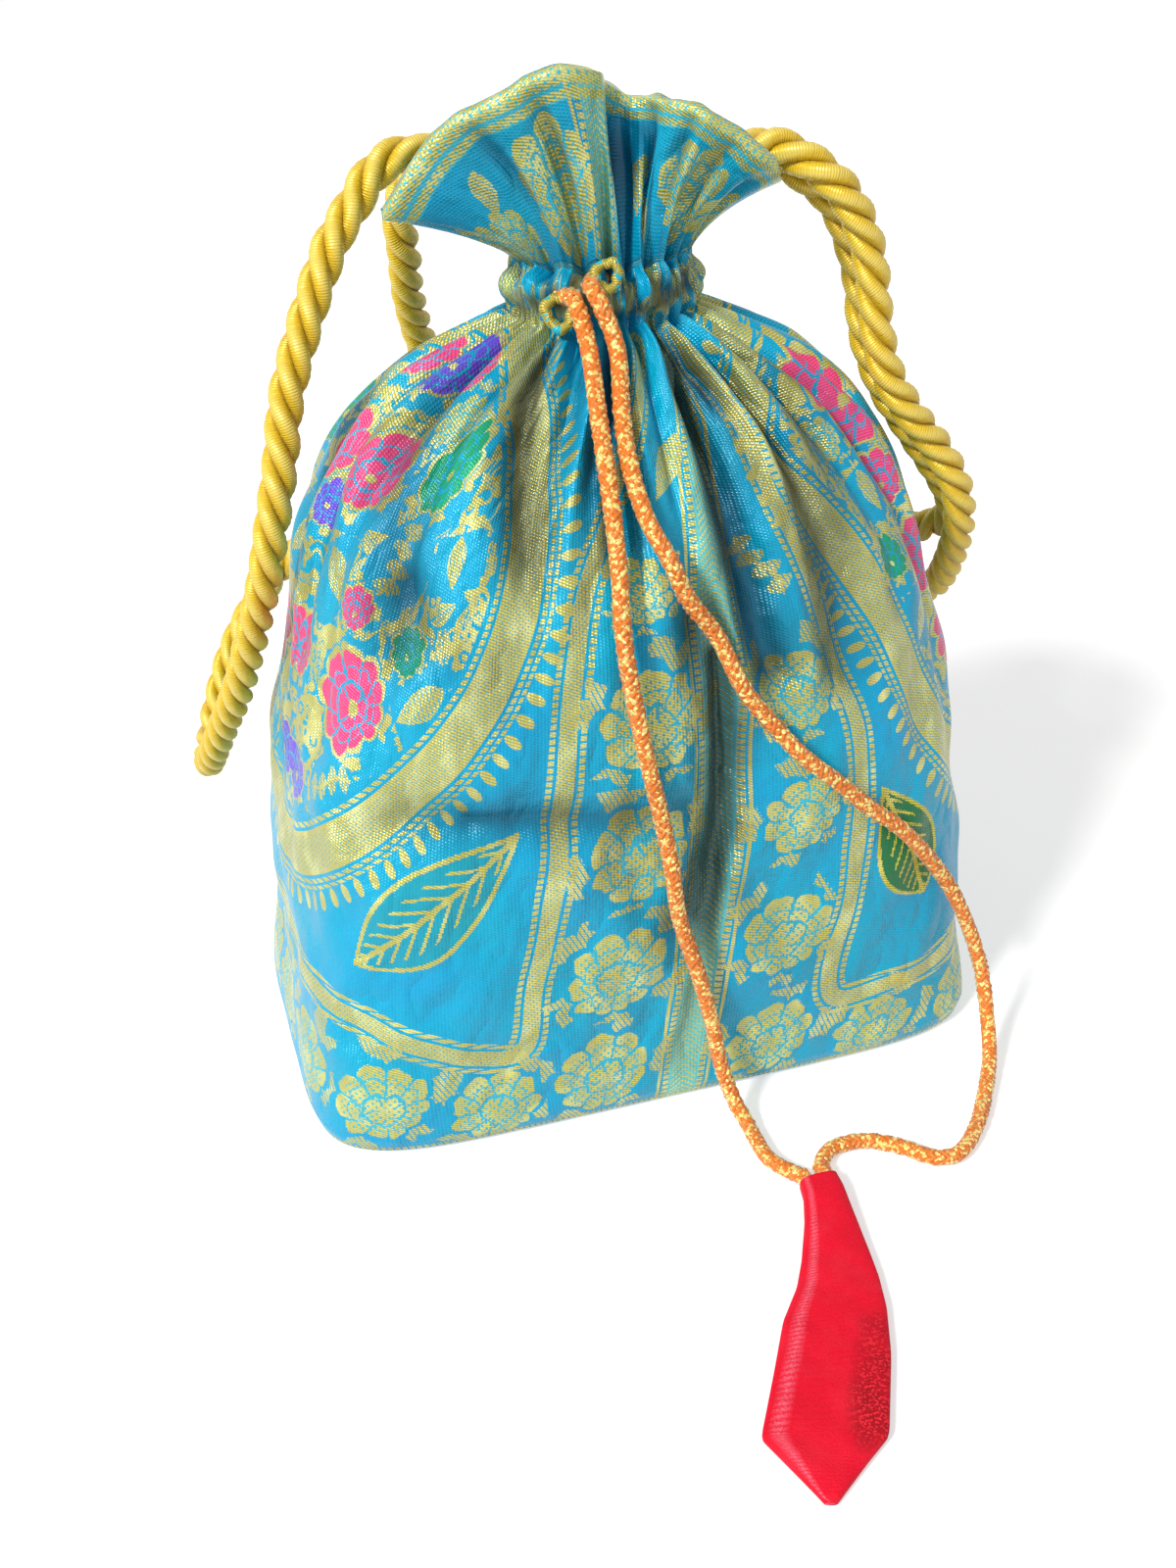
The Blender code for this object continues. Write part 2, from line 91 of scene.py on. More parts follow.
# Ruffle hem: (angle in degrees, x, y, z)
HEM = (
    (0, 0.0375, -0.004, 0.2212), (22, 0.035, 0.009, 0.2205), (46, 0.023, 0.021, 0.227),
    (70, 0.008, 0.0225, 0.2375), (95, -0.005, 0.0275, 0.236), (120, -0.0195, 0.027, 0.2262),
    (145, -0.035, 0.0195, 0.2215), (163, -0.041, 0.008, 0.225), (178, -0.0475, -0.003, 0.2215),
    (196, -0.0525, -0.012, 0.2225), (214, -0.041, -0.019, 0.2395), (234, -0.028, -0.0245, 0.247),
    (250, -0.0165, -0.0285, 0.252), (261, -0.008, -0.0255, 0.251), (270, -0.003, -0.016, 0.247),
    (280, 0.003, -0.0145, 0.244), (290, 0.0075, -0.024, 0.244), (304, 0.0145, -0.031, 0.241),
    (322, 0.0255, -0.0315, 0.2335), (340, 0.0335, -0.0245, 0.227), (350, 0.0365, -0.014, 0.2236),
)
RUFFLE_LEVELS = 22
RUFFLE_RISE = 0.60
RUFFLE_FLARE = 0.30
CLOTH = 0.0026
NECK_CLOTH = 0.0040
FUNNEL_FLOOR = 0.2105

# Gathers drawn in at the neck
PLEATS = 24
PLEAT_DEPTH = 0.0022
PLEAT_REACH = 0.055
PLEAT_FOOT = 0.080
PLEAT_ROUNDING = 0.02
PLEAT_SHIFTS = ((2, 0.16, 0.7), (5, 0.05, 2.1))
GATHER_DEPTH = 0.0017
FINE_GATHERS = 67
FINE_GATHER_DEPTH = 0.0006
FINE_GATHER_REACH = 0.018

# Folds: depth, width, then (angle in degrees, height) along each
FOLD_RADIUS = 0.075
FOLDS = (
    (0.0048, 0.0085, ((297, 0.191), (289, 0.183), (289, 0.168), (288, 0.152), (293, 0.125))),
    (0.0048, 0.0085, ((276, 0.137), (279, 0.123), (282, 0.107), (279, 0.082), (273, 0.06))),
    (0.0028, 0.007, ((219, 0.097), (230, 0.0965), (240, 0.094), (256, 0.091), (270, 0.0895))),
    (0.004, 0.007, ((222, 0.191), (228, 0.182), (232, 0.172), (236, 0.156))),
    (0.0035, 0.008, ((256, 0.19), (256, 0.176), (258, 0.16))),
    (0.0035, 0.0085, ((200, 0.186), (206, 0.17), (211, 0.154), (213, 0.138))),
    (0.0035, 0.009, ((326, 0.186), (316, 0.164), (310, 0.146), (308, 0.12))),
    (0.004, 0.008, ((30, 0.184), (26, 0.16), (24, 0.13))),
    (0.0045, 0.008, ((72, 0.188), (76, 0.16), (79, 0.125), (80, 0.09))),
    (0.0045, 0.008, ((112, 0.188), (108, 0.165), (104, 0.14))),
    (0.004, 0.008, ((150, 0.184), (155, 0.16), (157, 0.13))),
)
# Sharper creases that the cloth shows on top of the folds: depth, width, (angle, height) route
CREASES = (
    (0.0046, 0.0026, ((281, 0.128), (281, 0.098), (281, 0.082), (278, 0.06), (274, 0.038), (271, 0.014))),
    (0.004, 0.0034, ((289, 0.186), (288, 0.168), (288, 0.15), (292, 0.124))),
    (0.0018, 0.0022, ((228, 0.0965), (232, 0.0965), (240, 0.094), (256, 0.091), (264, 0.09))),
    (0.003, 0.003, ((222, 0.192), (228, 0.182), (232, 0.172), (236, 0.16))),
    (0.0034, 0.0034, ((244, 0.192), (243, 0.18), (240, 0.168), (243, 0.15))),
    (0.003, 0.0038, ((251, 0.178), (249, 0.16), (248, 0.14), (246, 0.118))),
    (0.0036, 0.0034, ((300, 0.19), (299, 0.176), (301, 0.158), (303, 0.14))),
    (0.0036, 0.0042, ((312, 0.188), (309, 0.17), (306, 0.15), (304, 0.128))),
    (0.002, 0.005, ((214, 0.15), (222, 0.138), (232, 0.128), (240, 0.112))),
    (0.0016, 0.006, ((255, 0.08), (262, 0.062), (268, 0.05), (270, 0.04))),
    (0.0016, 0.006, ((288, 0.06), (294, 0.046), (300, 0.04), (306, 0.03))),
    (0.0022, 0.0045, ((335, 0.18), (330, 0.158), (328, 0.13), (330, 0.1))),
    (0.0022, 0.0045, ((12, 0.178), (8, 0.15), (6, 0.116))),
    (0.0022, 0.0045, ((52, 0.184), (54, 0.158), (52, 0.124))),
    (0.0024, 0.004, ((92, 0.186), (94, 0.16), (92, 0.128), (93, 0.1))),
    (0.0022, 0.0045, ((130, 0.184), (128, 0.158), (130, 0.126))),
    (0.0022, 0.0045, ((172, 0.18), (174, 0.152), (172, 0.118))),
    (0.002, 0.0045, ((190, 0.176), (192, 0.156), (190, 0.13))),
)
CREASE_TAPER = 0.75
# Low waves in the cloth: size, waves round, waves up the bag, start in radians
WAVES = ((0.00050, 7, 90, 0.4), (0.00040, 11, -140, 1.9), (0.00030, 19, 210, 3.3), (0.00022, 31, -170, 5.0))
CALM_FOOT = 0.03
CALM_TOP = 0.02

# Casing of the drawstring: how it fades at its foot and head, and its uneven bunches
CASING_FOOT = 0.004
CASING_HEAD = 0.003
CASING_HALF = 0.0075
CASING_UNEVEN = 0.0017
CASING_DEEPEST = 0.0010
CASING_PLEATS = 0.55
# Cloth that stands up over the cord where it comes out: angle in degrees, height, size
EXIT_HUMPS = ((206, 0.2042, 0.0016), (220, 0.2046, 0.0024), (258, 0.2058, 0.0010))
HUMP_WIDTH = 0.0036
NECK_RADIUS = 0.020
# Soft folds in the ruffle: angle in degrees, half width in degrees, depth
RUFFLE_FOLDS = (
    (221, 3.2, 0.0022), (240, 2.6, 0.002), (273, 5.5, 0.0038), (285, 2.2, 0.0034),
    (298, 3.0, 0.0024), (314, 3.4, 0.0018), (333, 4.0, 0.0016), (196, 4.0, 0.0014),
    (82, 5.0, 0.0018), (132, 5.0, 0.0016), (30, 5.0, 0.0014),
)
# Painted shade: depths at which grooves, pleats and ruffle folds are painted fully darkened, the share of the
# ruffle above the neck that is painted darker, and the casing's right front, away from the sun, painted
# darker, in degrees
DARK_GROOVE = 0.0050
DARK_PLEAT = 0.0026
LIT_PLEAT = 0.0004
DARK_RUFFLE = 0.0036
RUFFLE_FOOT = 0.35
PAINTED_SHADE_SIDE = 312.0
PAINTED_SHADE_WIDTH = 42.0
# Worked loops of cloth where the cord comes out: middle, radius, thickness
LEFT_LOOP = ((-0.0152, -0.0166, 0.2008), 0.0034, 0.00150)
RIGHT_LOOP = ((-0.0050, -0.0198, 0.2086), 0.0028, 0.00130)
LOOP_LOOK = (-0.36, -0.90, 0.24)

# Pattern, in millimetres on the flat cloth: across from the front's middle stripe, up from the base
MM = 1000.0
PANEL = 136.0
THREAD = 0.45
MIDDLE = ((0, 0.5), (44, 5.0), (71, 9.0), (98, 11.0), (149, 11.0), (175, 15.0), (200, 22.0), (235, 26.0))
STRIPE_RIDGE = 258.0
FRAME_LEFT = ((-20, 215), (-26, 180), (-34, 154), (-38, 132), (-41, 97), (-44, 54), (-47, 30), (-70, 36),
              (-90, 44), (-114, 48), (-137, 49))
FRAME_RIGHT = ((14, 215), (21, 172), (29, 148), (34, 124), (37, 104), (39, 64), (39, 29), (58, 27), (80, 30),
               (110, 36), (137, 38))
OVAL_LEFT = ((-137, 224), (-112, 218), (-88, 206), (-66, 192), (-53, 172), (-50, 153), (-57, 133), (-67, 119),
             (-79, 107), (-97, 92), (-118, 79), (-137, 74))
OVAL_RIGHT = ((137, 222), (90, 218), (50, 206), (30, 190), (29, 174), (43, 151), (52, 131), (60, 112),
              (72, 92), (94, 76), (116, 69), (137, 67))
GOLD, PINK, VIOLET, GREEN, TEAL = range(5)
# Kinds of motif; 0 is none
GOLD_FLOWER, BRIGHT_FLOWER, LEAF, SPRIG = range(1, 5)
# Motifs by kind and tint, each (across, up, size, turn in degrees)
MOTIFS = (
    (GOLD_FLOWER, GOLD, (
        (-20, 151, 9, 0), (-19, 120, 15, 20), (-22, 84, 15, 50), (-23, 51, 15, 0), (-25, 19, 15, 30),
        (-53, 15, 13, 10), (-82, 20, 14, 40), (-110, 24, 14, 0), (-136, 25, 13, 20), (20, 121, 12, 10),
        (20, 87, 12, 45), (22, 52, 14, 0), (23, 18, 14, 30), (55, 13, 13, 15), (86, 15, 14, 40),
        (116, 17, 14, 0), (-107, 193, 8, 40), (58, 178, 7, 30), (132, 160, 10, 0),
    )),
    (LEAF, GOLD, (
        (-12, 178, 9, 60), (-75, 160, 6, 100), (-118, 152, 8, 130), (-80, 128, 8, 30), (66, 162, 6, 110),
        (72, 128, 7, 60),
    )),
    (SPRIG, GOLD, (
        (15, 152, 9, 120), (-107, 105, 8, 15), (-97, 160, 9, 70), (100, 158, 9, 20), (100, 100, 9, 60),
    )),
    (LEAF, TEAL, (
        (-72, 77, 27, 220),
    )),
    (LEAF, GREEN, (
        (55, 70, 22, -60),
    )),
    (BRIGHT_FLOWER, PINK, (
        (-122, 179, 12, 0), (-105, 126, 14, 70), (-105, 148, 6, 20), (-118, 204, 7, 0),
        (-133, 131, 9, 30), (79, 187, 17, 20), (79, 163, 8, 0), (86, 141, 12, 40), (93, 119, 13, 10),
        (130, 112, 9, 20),
    )),
    (BRIGHT_FLOWER, GREEN, (
        (-92, 182, 12, 15), (-87, 140, 7, 0), (63, 146, 7, 0), (118, 136, 10, 0),
    )),
    (BRIGHT_FLOWER, VIOLET, (
        (-136, 206, 10, 0), (-135, 166, 7, 40), (-130, 100, 9, 40), (112, 182, 9, 0),
    )),
)
MOTIF_REACH = 1.75
# On the ruffle: (along the hem from its front ridge, down from the hem, size, turn in degrees)
RUFFLE_MOTIFS = (
    (GOLD_FLOWER, GOLD, (
        (-18, 19, 15, 10), (-44, 25, 10, -20), (-60, 24, 12, 60), (-78, 18, 9, 20), (-100, 20, 12, 0),
        (47, 17, 14, -30), (66, 22, 12, 30), (88, 16, 10, 0), (106, 22, 11, 40),
    )),
    (LEAF, GOLD, (
        (-41, 14, 6, 60), (22, 19, 6, 80), (30, 27, 6, 120),
    )),
)
RUFFLE_MOTIF_REACH = 1.5
CLEAR_OF_HEM = 45.0
SMALL_LEAF = 5.3
FAR_AWAY = 1000.0

# Drawstring
END_LENGTH = 0.0025
GAP = 0.0003
LEFT_OPENING = (-0.0133, -0.0172, 0.2040)
RIGHT_OPENING = (-0.0082, -0.0190, 0.2068)
CHANNEL_MIDDLE = (0.0, 0.0, 0.2030)
CHANNEL_HALF_WIDE = 0.0140
CHANNEL_HALF_DEEP = 0.0100
CHANNEL_ANGLES = (196, 170, 140, 110, 80, 50, 20, -10, -40, -66)
LEFT_WAY_OUT = ((-0.0152, -0.0062, 0.2038), (-0.0148, -0.0110, 0.2044))
RIGHT_WAY_OUT = ((-0.0010, -0.0115, 0.2045), (-0.0060, -0.0140, 0.2064))
LEFT_RUN = (
    (-0.0115, -0.026, 0.195), (-0.013, -0.0375, 0.1825), (-0.0135, -0.047, 0.167),
    (-0.014, -0.0535, 0.154), (-0.0145, -0.059, 0.137), (-0.0115, -0.0615, 0.1155),
    (-0.008, -0.0625, 0.098), (-0.005, -0.0635, 0.0815), (-0.0025, -0.063, 0.0645),
    (0.0025, -0.063, 0.047), (0.0065, -0.063, 0.0305), (0.009, -0.0645, 0.016), (0.0115, -0.068, 0.0065),
    (0.013, -0.073, 0.003), (0.013, -0.08, 0.0025), (0.0135, -0.087, 0.0025), (0.017, -0.093, 0.0025),
)
RIGHT_RUN = (
    (-0.008, -0.0245, 0.2035), (-0.0055, -0.028, 0.194), (-0.0075, -0.037, 0.182),
    (-0.008, -0.044, 0.173), (-0.0065, -0.0505, 0.1635), (-0.003, -0.055, 0.1555),
    (0.001, -0.0565, 0.146), (0.0085, -0.056, 0.135), (0.014, -0.059, 0.1225), (0.021, -0.0605, 0.1125),
    (0.0285, -0.0625, 0.1035), (0.0375, -0.0625, 0.095), (0.047, -0.062, 0.0855), (0.0565, -0.061, 0.077),
    (0.066, -0.059, 0.0655), (0.075, -0.0565, 0.0525), (0.082, -0.056, 0.0385), (0.0865, -0.058, 0.0245),
    (0.087, -0.063, 0.0125), (0.084, -0.0715, 0.005), (0.0775, -0.0815, 0.003), (0.069, -0.0925, 0.0025),
    (0.06, -0.1, 0.0025), (0.053, -0.0995, 0.0025), (0.047, -0.0935, 0.0025), (0.039, -0.0885, 0.0025),
    (0.03, -0.0885, 0.0025), (0.025, -0.093, 0.0025),
)
# Tag: (left edge x, y, right edge x, y, thickness)
TAG = (
    (0.0168, -0.0985, 0.0268, -0.0985, 0.0056),
    (0.0158, -0.103, 0.0266, -0.103, 0.0058),
    (0.013, -0.11, 0.0256, -0.1106, 0.005),
    (0.0074, -0.121, 0.024, -0.1225, 0.0042),
    (0.003, -0.1282, 0.0226, -0.131, 0.004),
    (-0.0038, -0.1362, 0.0202, -0.14, 0.004),
    (-0.0109, -0.148, 0.0154, -0.152, 0.0038),
    (-0.0202, -0.163, 0.0057, -0.1708, 0.0036),
    (-0.018, -0.169, -0.001, -0.175, 0.0034),
    (-0.0138, -0.1805, -0.0108, -0.1815, 0.0028),
)
TAG_ROWS = 90
TAG_SIDES = 56
TAG_ROUNDING = 0.62
TAG_LIFT = 0.0002
TAG_DENT = 0.0005
# Free runs of the drawstring: opening, way out of it, run and end at the tag
LEFT_CORD = (LEFT_OPENING, (0.234, -0.970, -0.060), LEFT_RUN, (0.0190, TAG[0][1] + GAP, 0.0029))
RIGHT_CORD = (RIGHT_OPENING, (-0.402, -0.913, 0.073), RIGHT_RUN, (0.0245, TAG[0][1] + GAP, 0.0029))

# Braid of the drawstring: strands each way, how far one goes in a turn, place and size of a strand
BRAID_STRANDS = 5
BRAID_PITCH = 0.0088
BRAID_OFFSET = 0.00162
BRAID_LIFT = 0.00020
BRAID_WIDE = 0.00070
BRAID_THICK = 0.00042

# Rope handles
ROPE_RADIUS = 0.0043
STRAND_RADIUS = 0.00215
STRAND_OFFSET = 0.0022
ROPE_STRANDS = 3
ROPE_PITCH = 0.0245
WHIPPING_START = 0.0008
WHIPPING_TURNS = 6
WHIPPING_PITCH = 0.0009
WHIPPING_THREAD = 0.0005
HANDLE_LEFT = (
    (-0.011, -0.002, 0.2235), (-0.018, 0.0015, 0.2265), (-0.025, 0.004, 0.229), (-0.038, 0.007, 0.232),
    (-0.044, 0.0075, 0.232), (-0.05, 0.007, 0.229), (-0.0555, 0.006, 0.2225), (-0.063, 0.004, 0.212),
    (-0.0745, -0.001, 0.187), (-0.079, -0.0035, 0.169), (-0.083, -0.004, 0.153), (-0.0865, 0.001, 0.136),
    (-0.0935, 0.019, 0.104), (-0.0975, 0.033, 0.087), (-0.101, 0.047, 0.071), (-0.1025, 0.062, 0.059),
    (-0.101, 0.078, 0.056), (-0.0965, 0.089, 0.064), (-0.089, 0.093, 0.08), (-0.078, 0.0905, 0.098),
    (-0.061, 0.082, 0.118), (-0.04, 0.071, 0.137), (-0.018, 0.065, 0.148), (0.01, 0.0665, 0.14),
    (0.058, 0.064, 0.122), (0.08, 0.046, 0.118), (0.0945, 0.022, 0.12), (0.099, 0.0045, 0.1295),
    (0.093, -0.003, 0.142), (0.077, -0.007, 0.163), (0.07, -0.0075, 0.173), (0.0645, -0.0075, 0.186),
    (0.062, -0.0085, 0.198), (0.0585, -0.0095, 0.208), (0.053, -0.0105, 0.218), (0.046, -0.0095, 0.224),
    (0.038, -0.006, 0.23), (0.03, -0.003, 0.2285), (0.022, 0.0005, 0.227), (0.015, 0.003, 0.2235),
)
HANDLE_RIGHT = (
    (-0.012, 0.011, 0.2235), (-0.019, 0.016, 0.228), (-0.0275, 0.0215, 0.231), (-0.034, 0.028, 0.227),
    (-0.0385, 0.0325, 0.2195), (-0.0395, 0.036, 0.211), (-0.038, 0.041, 0.203), (-0.036, 0.05, 0.191),
    (-0.031, 0.063, 0.175), (-0.023, 0.075, 0.155), (-0.009, 0.082, 0.131), (0.011, 0.086, 0.109),
    (0.033, 0.087, 0.093), (0.056, 0.084, 0.083), (0.077, 0.074, 0.081), (0.093, 0.056, 0.085),
    (0.102, 0.036, 0.093), (0.104, 0.019, 0.102), (0.1, 0.004, 0.1155), (0.0945, -0.0095, 0.133),
    (0.089, -0.015, 0.147), (0.081, -0.016, 0.159), (0.074, -0.017, 0.167), (0.067, -0.0175, 0.177),
    (0.063, -0.018, 0.187), (0.061, -0.0185, 0.196), (0.0585, -0.0195, 0.207), (0.0545, -0.0205, 0.216),
    (0.05, -0.021, 0.2225), (0.045, -0.02, 0.227), (0.0405, -0.018, 0.23), (0.035, -0.0155, 0.232),
    (0.0285, -0.014, 0.2305), (0.0215, -0.012, 0.2275), (0.015, -0.009, 0.224),
)
# Spacing of points along a rope, a braid and the path worked out for either
ROPE_STEP = 0.0011
BRAID_STEP = 0.0009
PATH_STEP = 0.004


def ramp(value, size):
    """From 0 at nothing to 1 at the given size, and flat beyond."""
    return np.clip(value / size, 0, 1)


def hump(gap, width):
    """A smooth hump of height 1."""
    return np.exp(-((gap / width) ** 2))


def unit(vectors):
    return vectors / np.maximum(np.linalg.norm(vectors, axis=-1, keepdims=True), 1e-9)


def blend(start, end, leave, arrive, t):
    """From start to end as t goes from 0 to 1, with the slopes given at both ends."""
    rise = start * (1 + 2 * t) * (1 - t) ** 2 + end * t * t * (3 - 2 * t)
    return rise + t * (1 - t) * ((1 - t) * leave - t * arrive)


def smooth_through(xs, ys, x):
    """Values at x on a smooth curve through (xs, ys), without overshoot."""
    x = np.clip(x, xs[0], xs[-1])
    step = np.diff(xs)
    slope = np.diff(ys) / step
    same_way = slope[:-1] * slope[1:] > 0
    mean = 2 * slope[:-1] * slope[1:] / np.where(same_way, slope[:-1] + slope[1:], 1)
    tangent = np.concatenate([slope[:1], np.where(same_way, mean, 0), slope[-1:]])
    i = np.clip(np.searchsorted(xs, x, side="right") - 1, 0, len(step) - 1)
    t = (x - xs[i]) / step[i]
    return blend(ys[i], ys[i + 1], step[i] * tangent[i], step[i] * tangent[i + 1], t)


def smooth_columns(table, x):
    """The later columns of a table, each read smoothly at x in its first column."""
    xs, *columns = np.array(table, float).T
    return [smooth_through(xs, ys, x) for ys in columns]


def read_between(wanted, marks, rows):
    """Rows of numbers read at the wanted places between their marks."""
    return np.stack([np.interp(wanted, marks, column) for column in np.transpose(rows)], -1)


def travelled(points):
    """How far along a path each of its points lies."""
    return np.append(0, np.cumsum(np.linalg.norm(np.diff(points, axis=0), axis=1)))


def curve_points(route, spacing):
    """Evenly spaced points on a smooth curve through the route's own points."""
    route = np.array(route, float)
    nodes = np.concatenate([[2 * route[0] - route[1]], route, [2 * route[-1] - route[-2]]])
    t = np.linspace(0, 1, 24, endpoint=False)[:, None]
    spans = zip(nodes, nodes[1:], nodes[2:], nodes[3:])
    fine = [blend(b, c, (c - a) / 2, (d - b) / 2, t) for a, b, c, d in spans]
    fine = np.concatenate(fine + [route[-1:]])
    along = travelled(fine)
    wanted = np.linspace(0, along[-1], max(2, round(along[-1] / spacing) + 1))
    return read_between(wanted, along, fine)


def nearest(line, x, y):
    """Signed gap from each place to a line of points, and how far along it, counted in points."""
    gap = np.full(x.shape, np.inf)
    place = np.zeros(x.shape)
    for number, (start, end) in enumerate(zip(line, line[1:])):
        way = end - start
        far_x, far_y = x - start[0], y - start[1]
        share = np.clip((far_x * way[0] + far_y * way[1]) / (way @ way), 0, 1)
        off_x, off_y = far_x - share * way[0], far_y - share * way[1]
        here = np.hypot(off_x, off_y) * np.where(way[0] * off_y < way[1] * off_x, -1, 1)
        nearer = abs(here) < abs(gap)
        gap = np.where(nearer, here, gap)
        place = np.where(nearer, number + share, place)
    return gap, place


def section(height, angle):
    """A point of the plain body section: a rounded rectangle, wider than deep."""
    wide, deep, square, middle = smooth_columns(SECTIONS, height)
    x, y = np.cos(angle), np.sin(angle)
    reach = (abs(x / wide) ** square + abs(y / deep) ** square) ** (-1 / square)
    return np.stack([middle + reach * x, reach * y, height + 0 * angle], -1)


def pleat(angle):
    """Uneven gathers round the neck, from -1 in a groove to 1 on a ridge."""
    shifted = angle.copy()
    for waves, size, start in PLEAT_SHIFTS:
        shifted = shifted + size * np.sin(waves * angle + start)
    wave = np.cos(PLEATS * shifted)
    return 2 * np.sqrt((1 - wave) / 2 + PLEAT_ROUNDING) - 1


def fold_depth(folds, angle, height, taper=0.0):
    """How far the pressed folds push the cloth in; with a taper they fade and widen along their way."""
    deep = np.zeros(angle.shape)
    for depth, width, route in folds:
        line = np.array([(math.radians(a) * FOLD_RADIUS, z) for a, z in route])
        gap, place = nearest(line, angle * FOLD_RADIUS, height)
        gone = taper * place / (len(line) - 1)
        deep = np.maximum(deep, depth * (1 - gone) * hump(gap, width * (1 + gone)))
    return deep


def outward(rings):
    """Unit normals of rings of cloth, facing away from the middle."""
    round_way = np.roll(rings, -1, 1) - np.roll(rings, 1, 1)
    return unit(np.cross(round_way, np.gradient(rings, axis=0)))


def pushed_in(rings, depth):
    """Rings of cloth moved inwards by a depth at each point."""
    return rings - depth[..., None] * outward(rings)


def column_angles():
    turn = np.linspace(0, 2 * math.pi, COLUMNS, endpoint=False)
    return turn - FRONT_CLOSER * np.cos(turn)


def gather_depth(around, up, fade):
    """Gathers drawn in below the neck: uneven deep ones, and fine ones close to it."""
    uneven = 0.6 + 0.4 * np.sin(5 * around + 0.8) * np.sin(9 * around + 2.0)
    fine = np.sin(FINE_GATHERS * around + 2.2 * np.sin(4 * around) + 1.3 * np.sin(7 * around + 1.0))
    near_neck = np.exp(-np.maximum(NECK_BOTTOM - up, 0) / FINE_GATHER_REACH)
    deep = (1 - pleat(around)) * fade * GATHER_DEPTH * uneven
    return deep + (0.5 + 0.5 * fine) * near_neck * FINE_GATHER_DEPTH


def wave_depth(around, up):
    """Low waves over the body, calm near the base and the neck."""
    calm = ramp(up, CALM_FOOT) * ramp(NECK_BOTTOM - up, CALM_TOP)
    bend = 1.5 * np.sin(3 * around + 12 * up)
    return calm * sum(
        size * (1 - np.sin(waves * around + rise * up + start + bend)) for size, waves, rise, start in WAVES
    )


def casing_bunches(around, up):
    """The uneven bunches of the casing, up on a bunch and down between two."""
    bulge = np.sin(5 * around + 330 * up + 0.6) * np.sin(9 * around - 260 * up + 1.0)
    return bulge + 0.5 * np.sin(17 * around + 480 * up + 2.0 * np.sin(3 * around))


def body_rings(angle):
    """The outer cloth's rings, their plain top ring, how much painted shade each point gets, and the casing's
    share.
    """
    steps = [np.linspace(low, high, count, endpoint=False) for low, high, count in LEVELS]
    heights = np.concatenate([EDGE_HEIGHTS, *steps, [NECK_TOP]])
    around, up = np.broadcast_arrays(angle, heights[:, None])
    rings = section(up, around)
    casing = ramp(up - NECK_BOTTOM, CASING_FOOT) * ramp(NECK_TOP - up, CASING_HEAD)
    fade = np.exp(-np.maximum(NECK_BOTTOM - up, 0) / PLEAT_REACH) * ramp(up, PLEAT_FOOT)
    fade = fade * (1 - (1 - CASING_PLEATS) * casing)
    puff = pleat(around) * fade * PLEAT_DEPTH
    grooves = fold_depth(FOLDS, around, up) + fold_depth(CREASES, around, up, CREASE_TAPER)
    bunches = casing_bunches(around, up)
    moved = puff - grooves - gather_depth(around, up, fade) - wave_depth(around, up)
    moved = moved + CASING_UNEVEN * (bunches - 0.2) * casing
    moved = moved + (np.maximum(moved, -CASING_DEEPEST) - moved) * casing
    turned_by = np.degrees(around) % 360
    for place, height, size in EXIT_HUMPS:
        gap = np.hypot(np.radians(turned_by - place) * NECK_RADIUS, up - height)
        moved = moved + size * hump(gap, HUMP_WIDTH) * casing
    moved[:2] = 0
    # Painted shade: the colour is darkened in folds and creases, in the grooves of the pleats, in the hollows
    # between the casing's bunches, along its foot and head, and on its right front.
    shaded = np.clip(grooves / DARK_GROOVE + np.maximum(-puff - LIT_PLEAT, 0) / DARK_PLEAT, 0, 1)
    edges = ramp(abs(up - (NECK_BOTTOM + NECK_TOP) / 2), CASING_HALF) ** 4
    between = 0.40 - 0.60 * bunches + 0.8 * edges + 0.35 * hump(turned_by - PAINTED_SHADE_SIDE, PAINTED_SHADE_WIDTH)
    shaded = np.maximum(shaded, np.clip(between, 0, 1) * casing)
    return pushed_in(rings, -moved), rings[-1], shaded, casing[:, 0]


def hem_points(angle):
    marks = [(place + turn, *rest) for turn in (-360, 0, 360) for place, *rest in HEM]
    return np.stack(smooth_columns(marks, np.degrees(angle) % 360), -1)


def ruffle_rings(neck_ring, hem):
    """Rings of cloth from the neck to the hem, rising first and then flaring out."""
    bend = neck_ring + (hem - neck_ring) * np.array([RUFFLE_FLARE, RUFFLE_FLARE, RUFFLE_RISE])
    share = np.linspace(0, 1, RUFFLE_LEVELS + 1)[:, None, None]
    return neck_ring * (1 - share) ** 2 + bend * 2 * share * (1 - share) + hem * share * share


def ruffle_folds(angle):
    """How far the ruffle's folds push each ring of it in; nothing at the neck and the hem."""
    deep = np.zeros(len(angle))
    for place, width, depth in RUFFLE_FOLDS:
        gap = (np.degrees(angle) - place + 180) % 360 - 180
        deep = np.maximum(deep, depth * hump(gap, width))
    share = np.linspace(0, 1, RUFFLE_LEVELS + 1)[:, None]
    return deep * np.sin(math.pi * share ** 1.3)


def add(name, data):
    made = bpy.data.objects.new(name, data)
    bpy.context.scene.collection.objects.link(made)
    return made


def link(name, mesh, made_of):
    mesh.materials.append(made_of)
    return add(name, mesh)


def new_mesh(name, points, faces):
    mesh = bpy.data.meshes.new(name)
    mesh.from_pydata(points.reshape(-1, 3).tolist(), [], faces)
    mesh.shade_smooth()
    return mesh


def grid_mesh(name, rings):
    """A mesh through rings of equal count, without end caps."""
    rows, count = rings.shape[:2]
    index = np.arange(rows * count).reshape(rows, count)
    after = np.roll(index, -1, 1)
    faces = np.stack([index[:-1], after[:-1], after[1:], index[1:]], -1)
    return new_mesh(name, rings, faces.reshape(-1, 4).tolist())


def add_attribute(mesh, name, domain, values):
    made = mesh.attributes.new(name, "FLOAT_VECTOR", domain)
    made.data.foreach_set("vector", np.ascontiguousarray(values, dtype=np.float32).ravel())


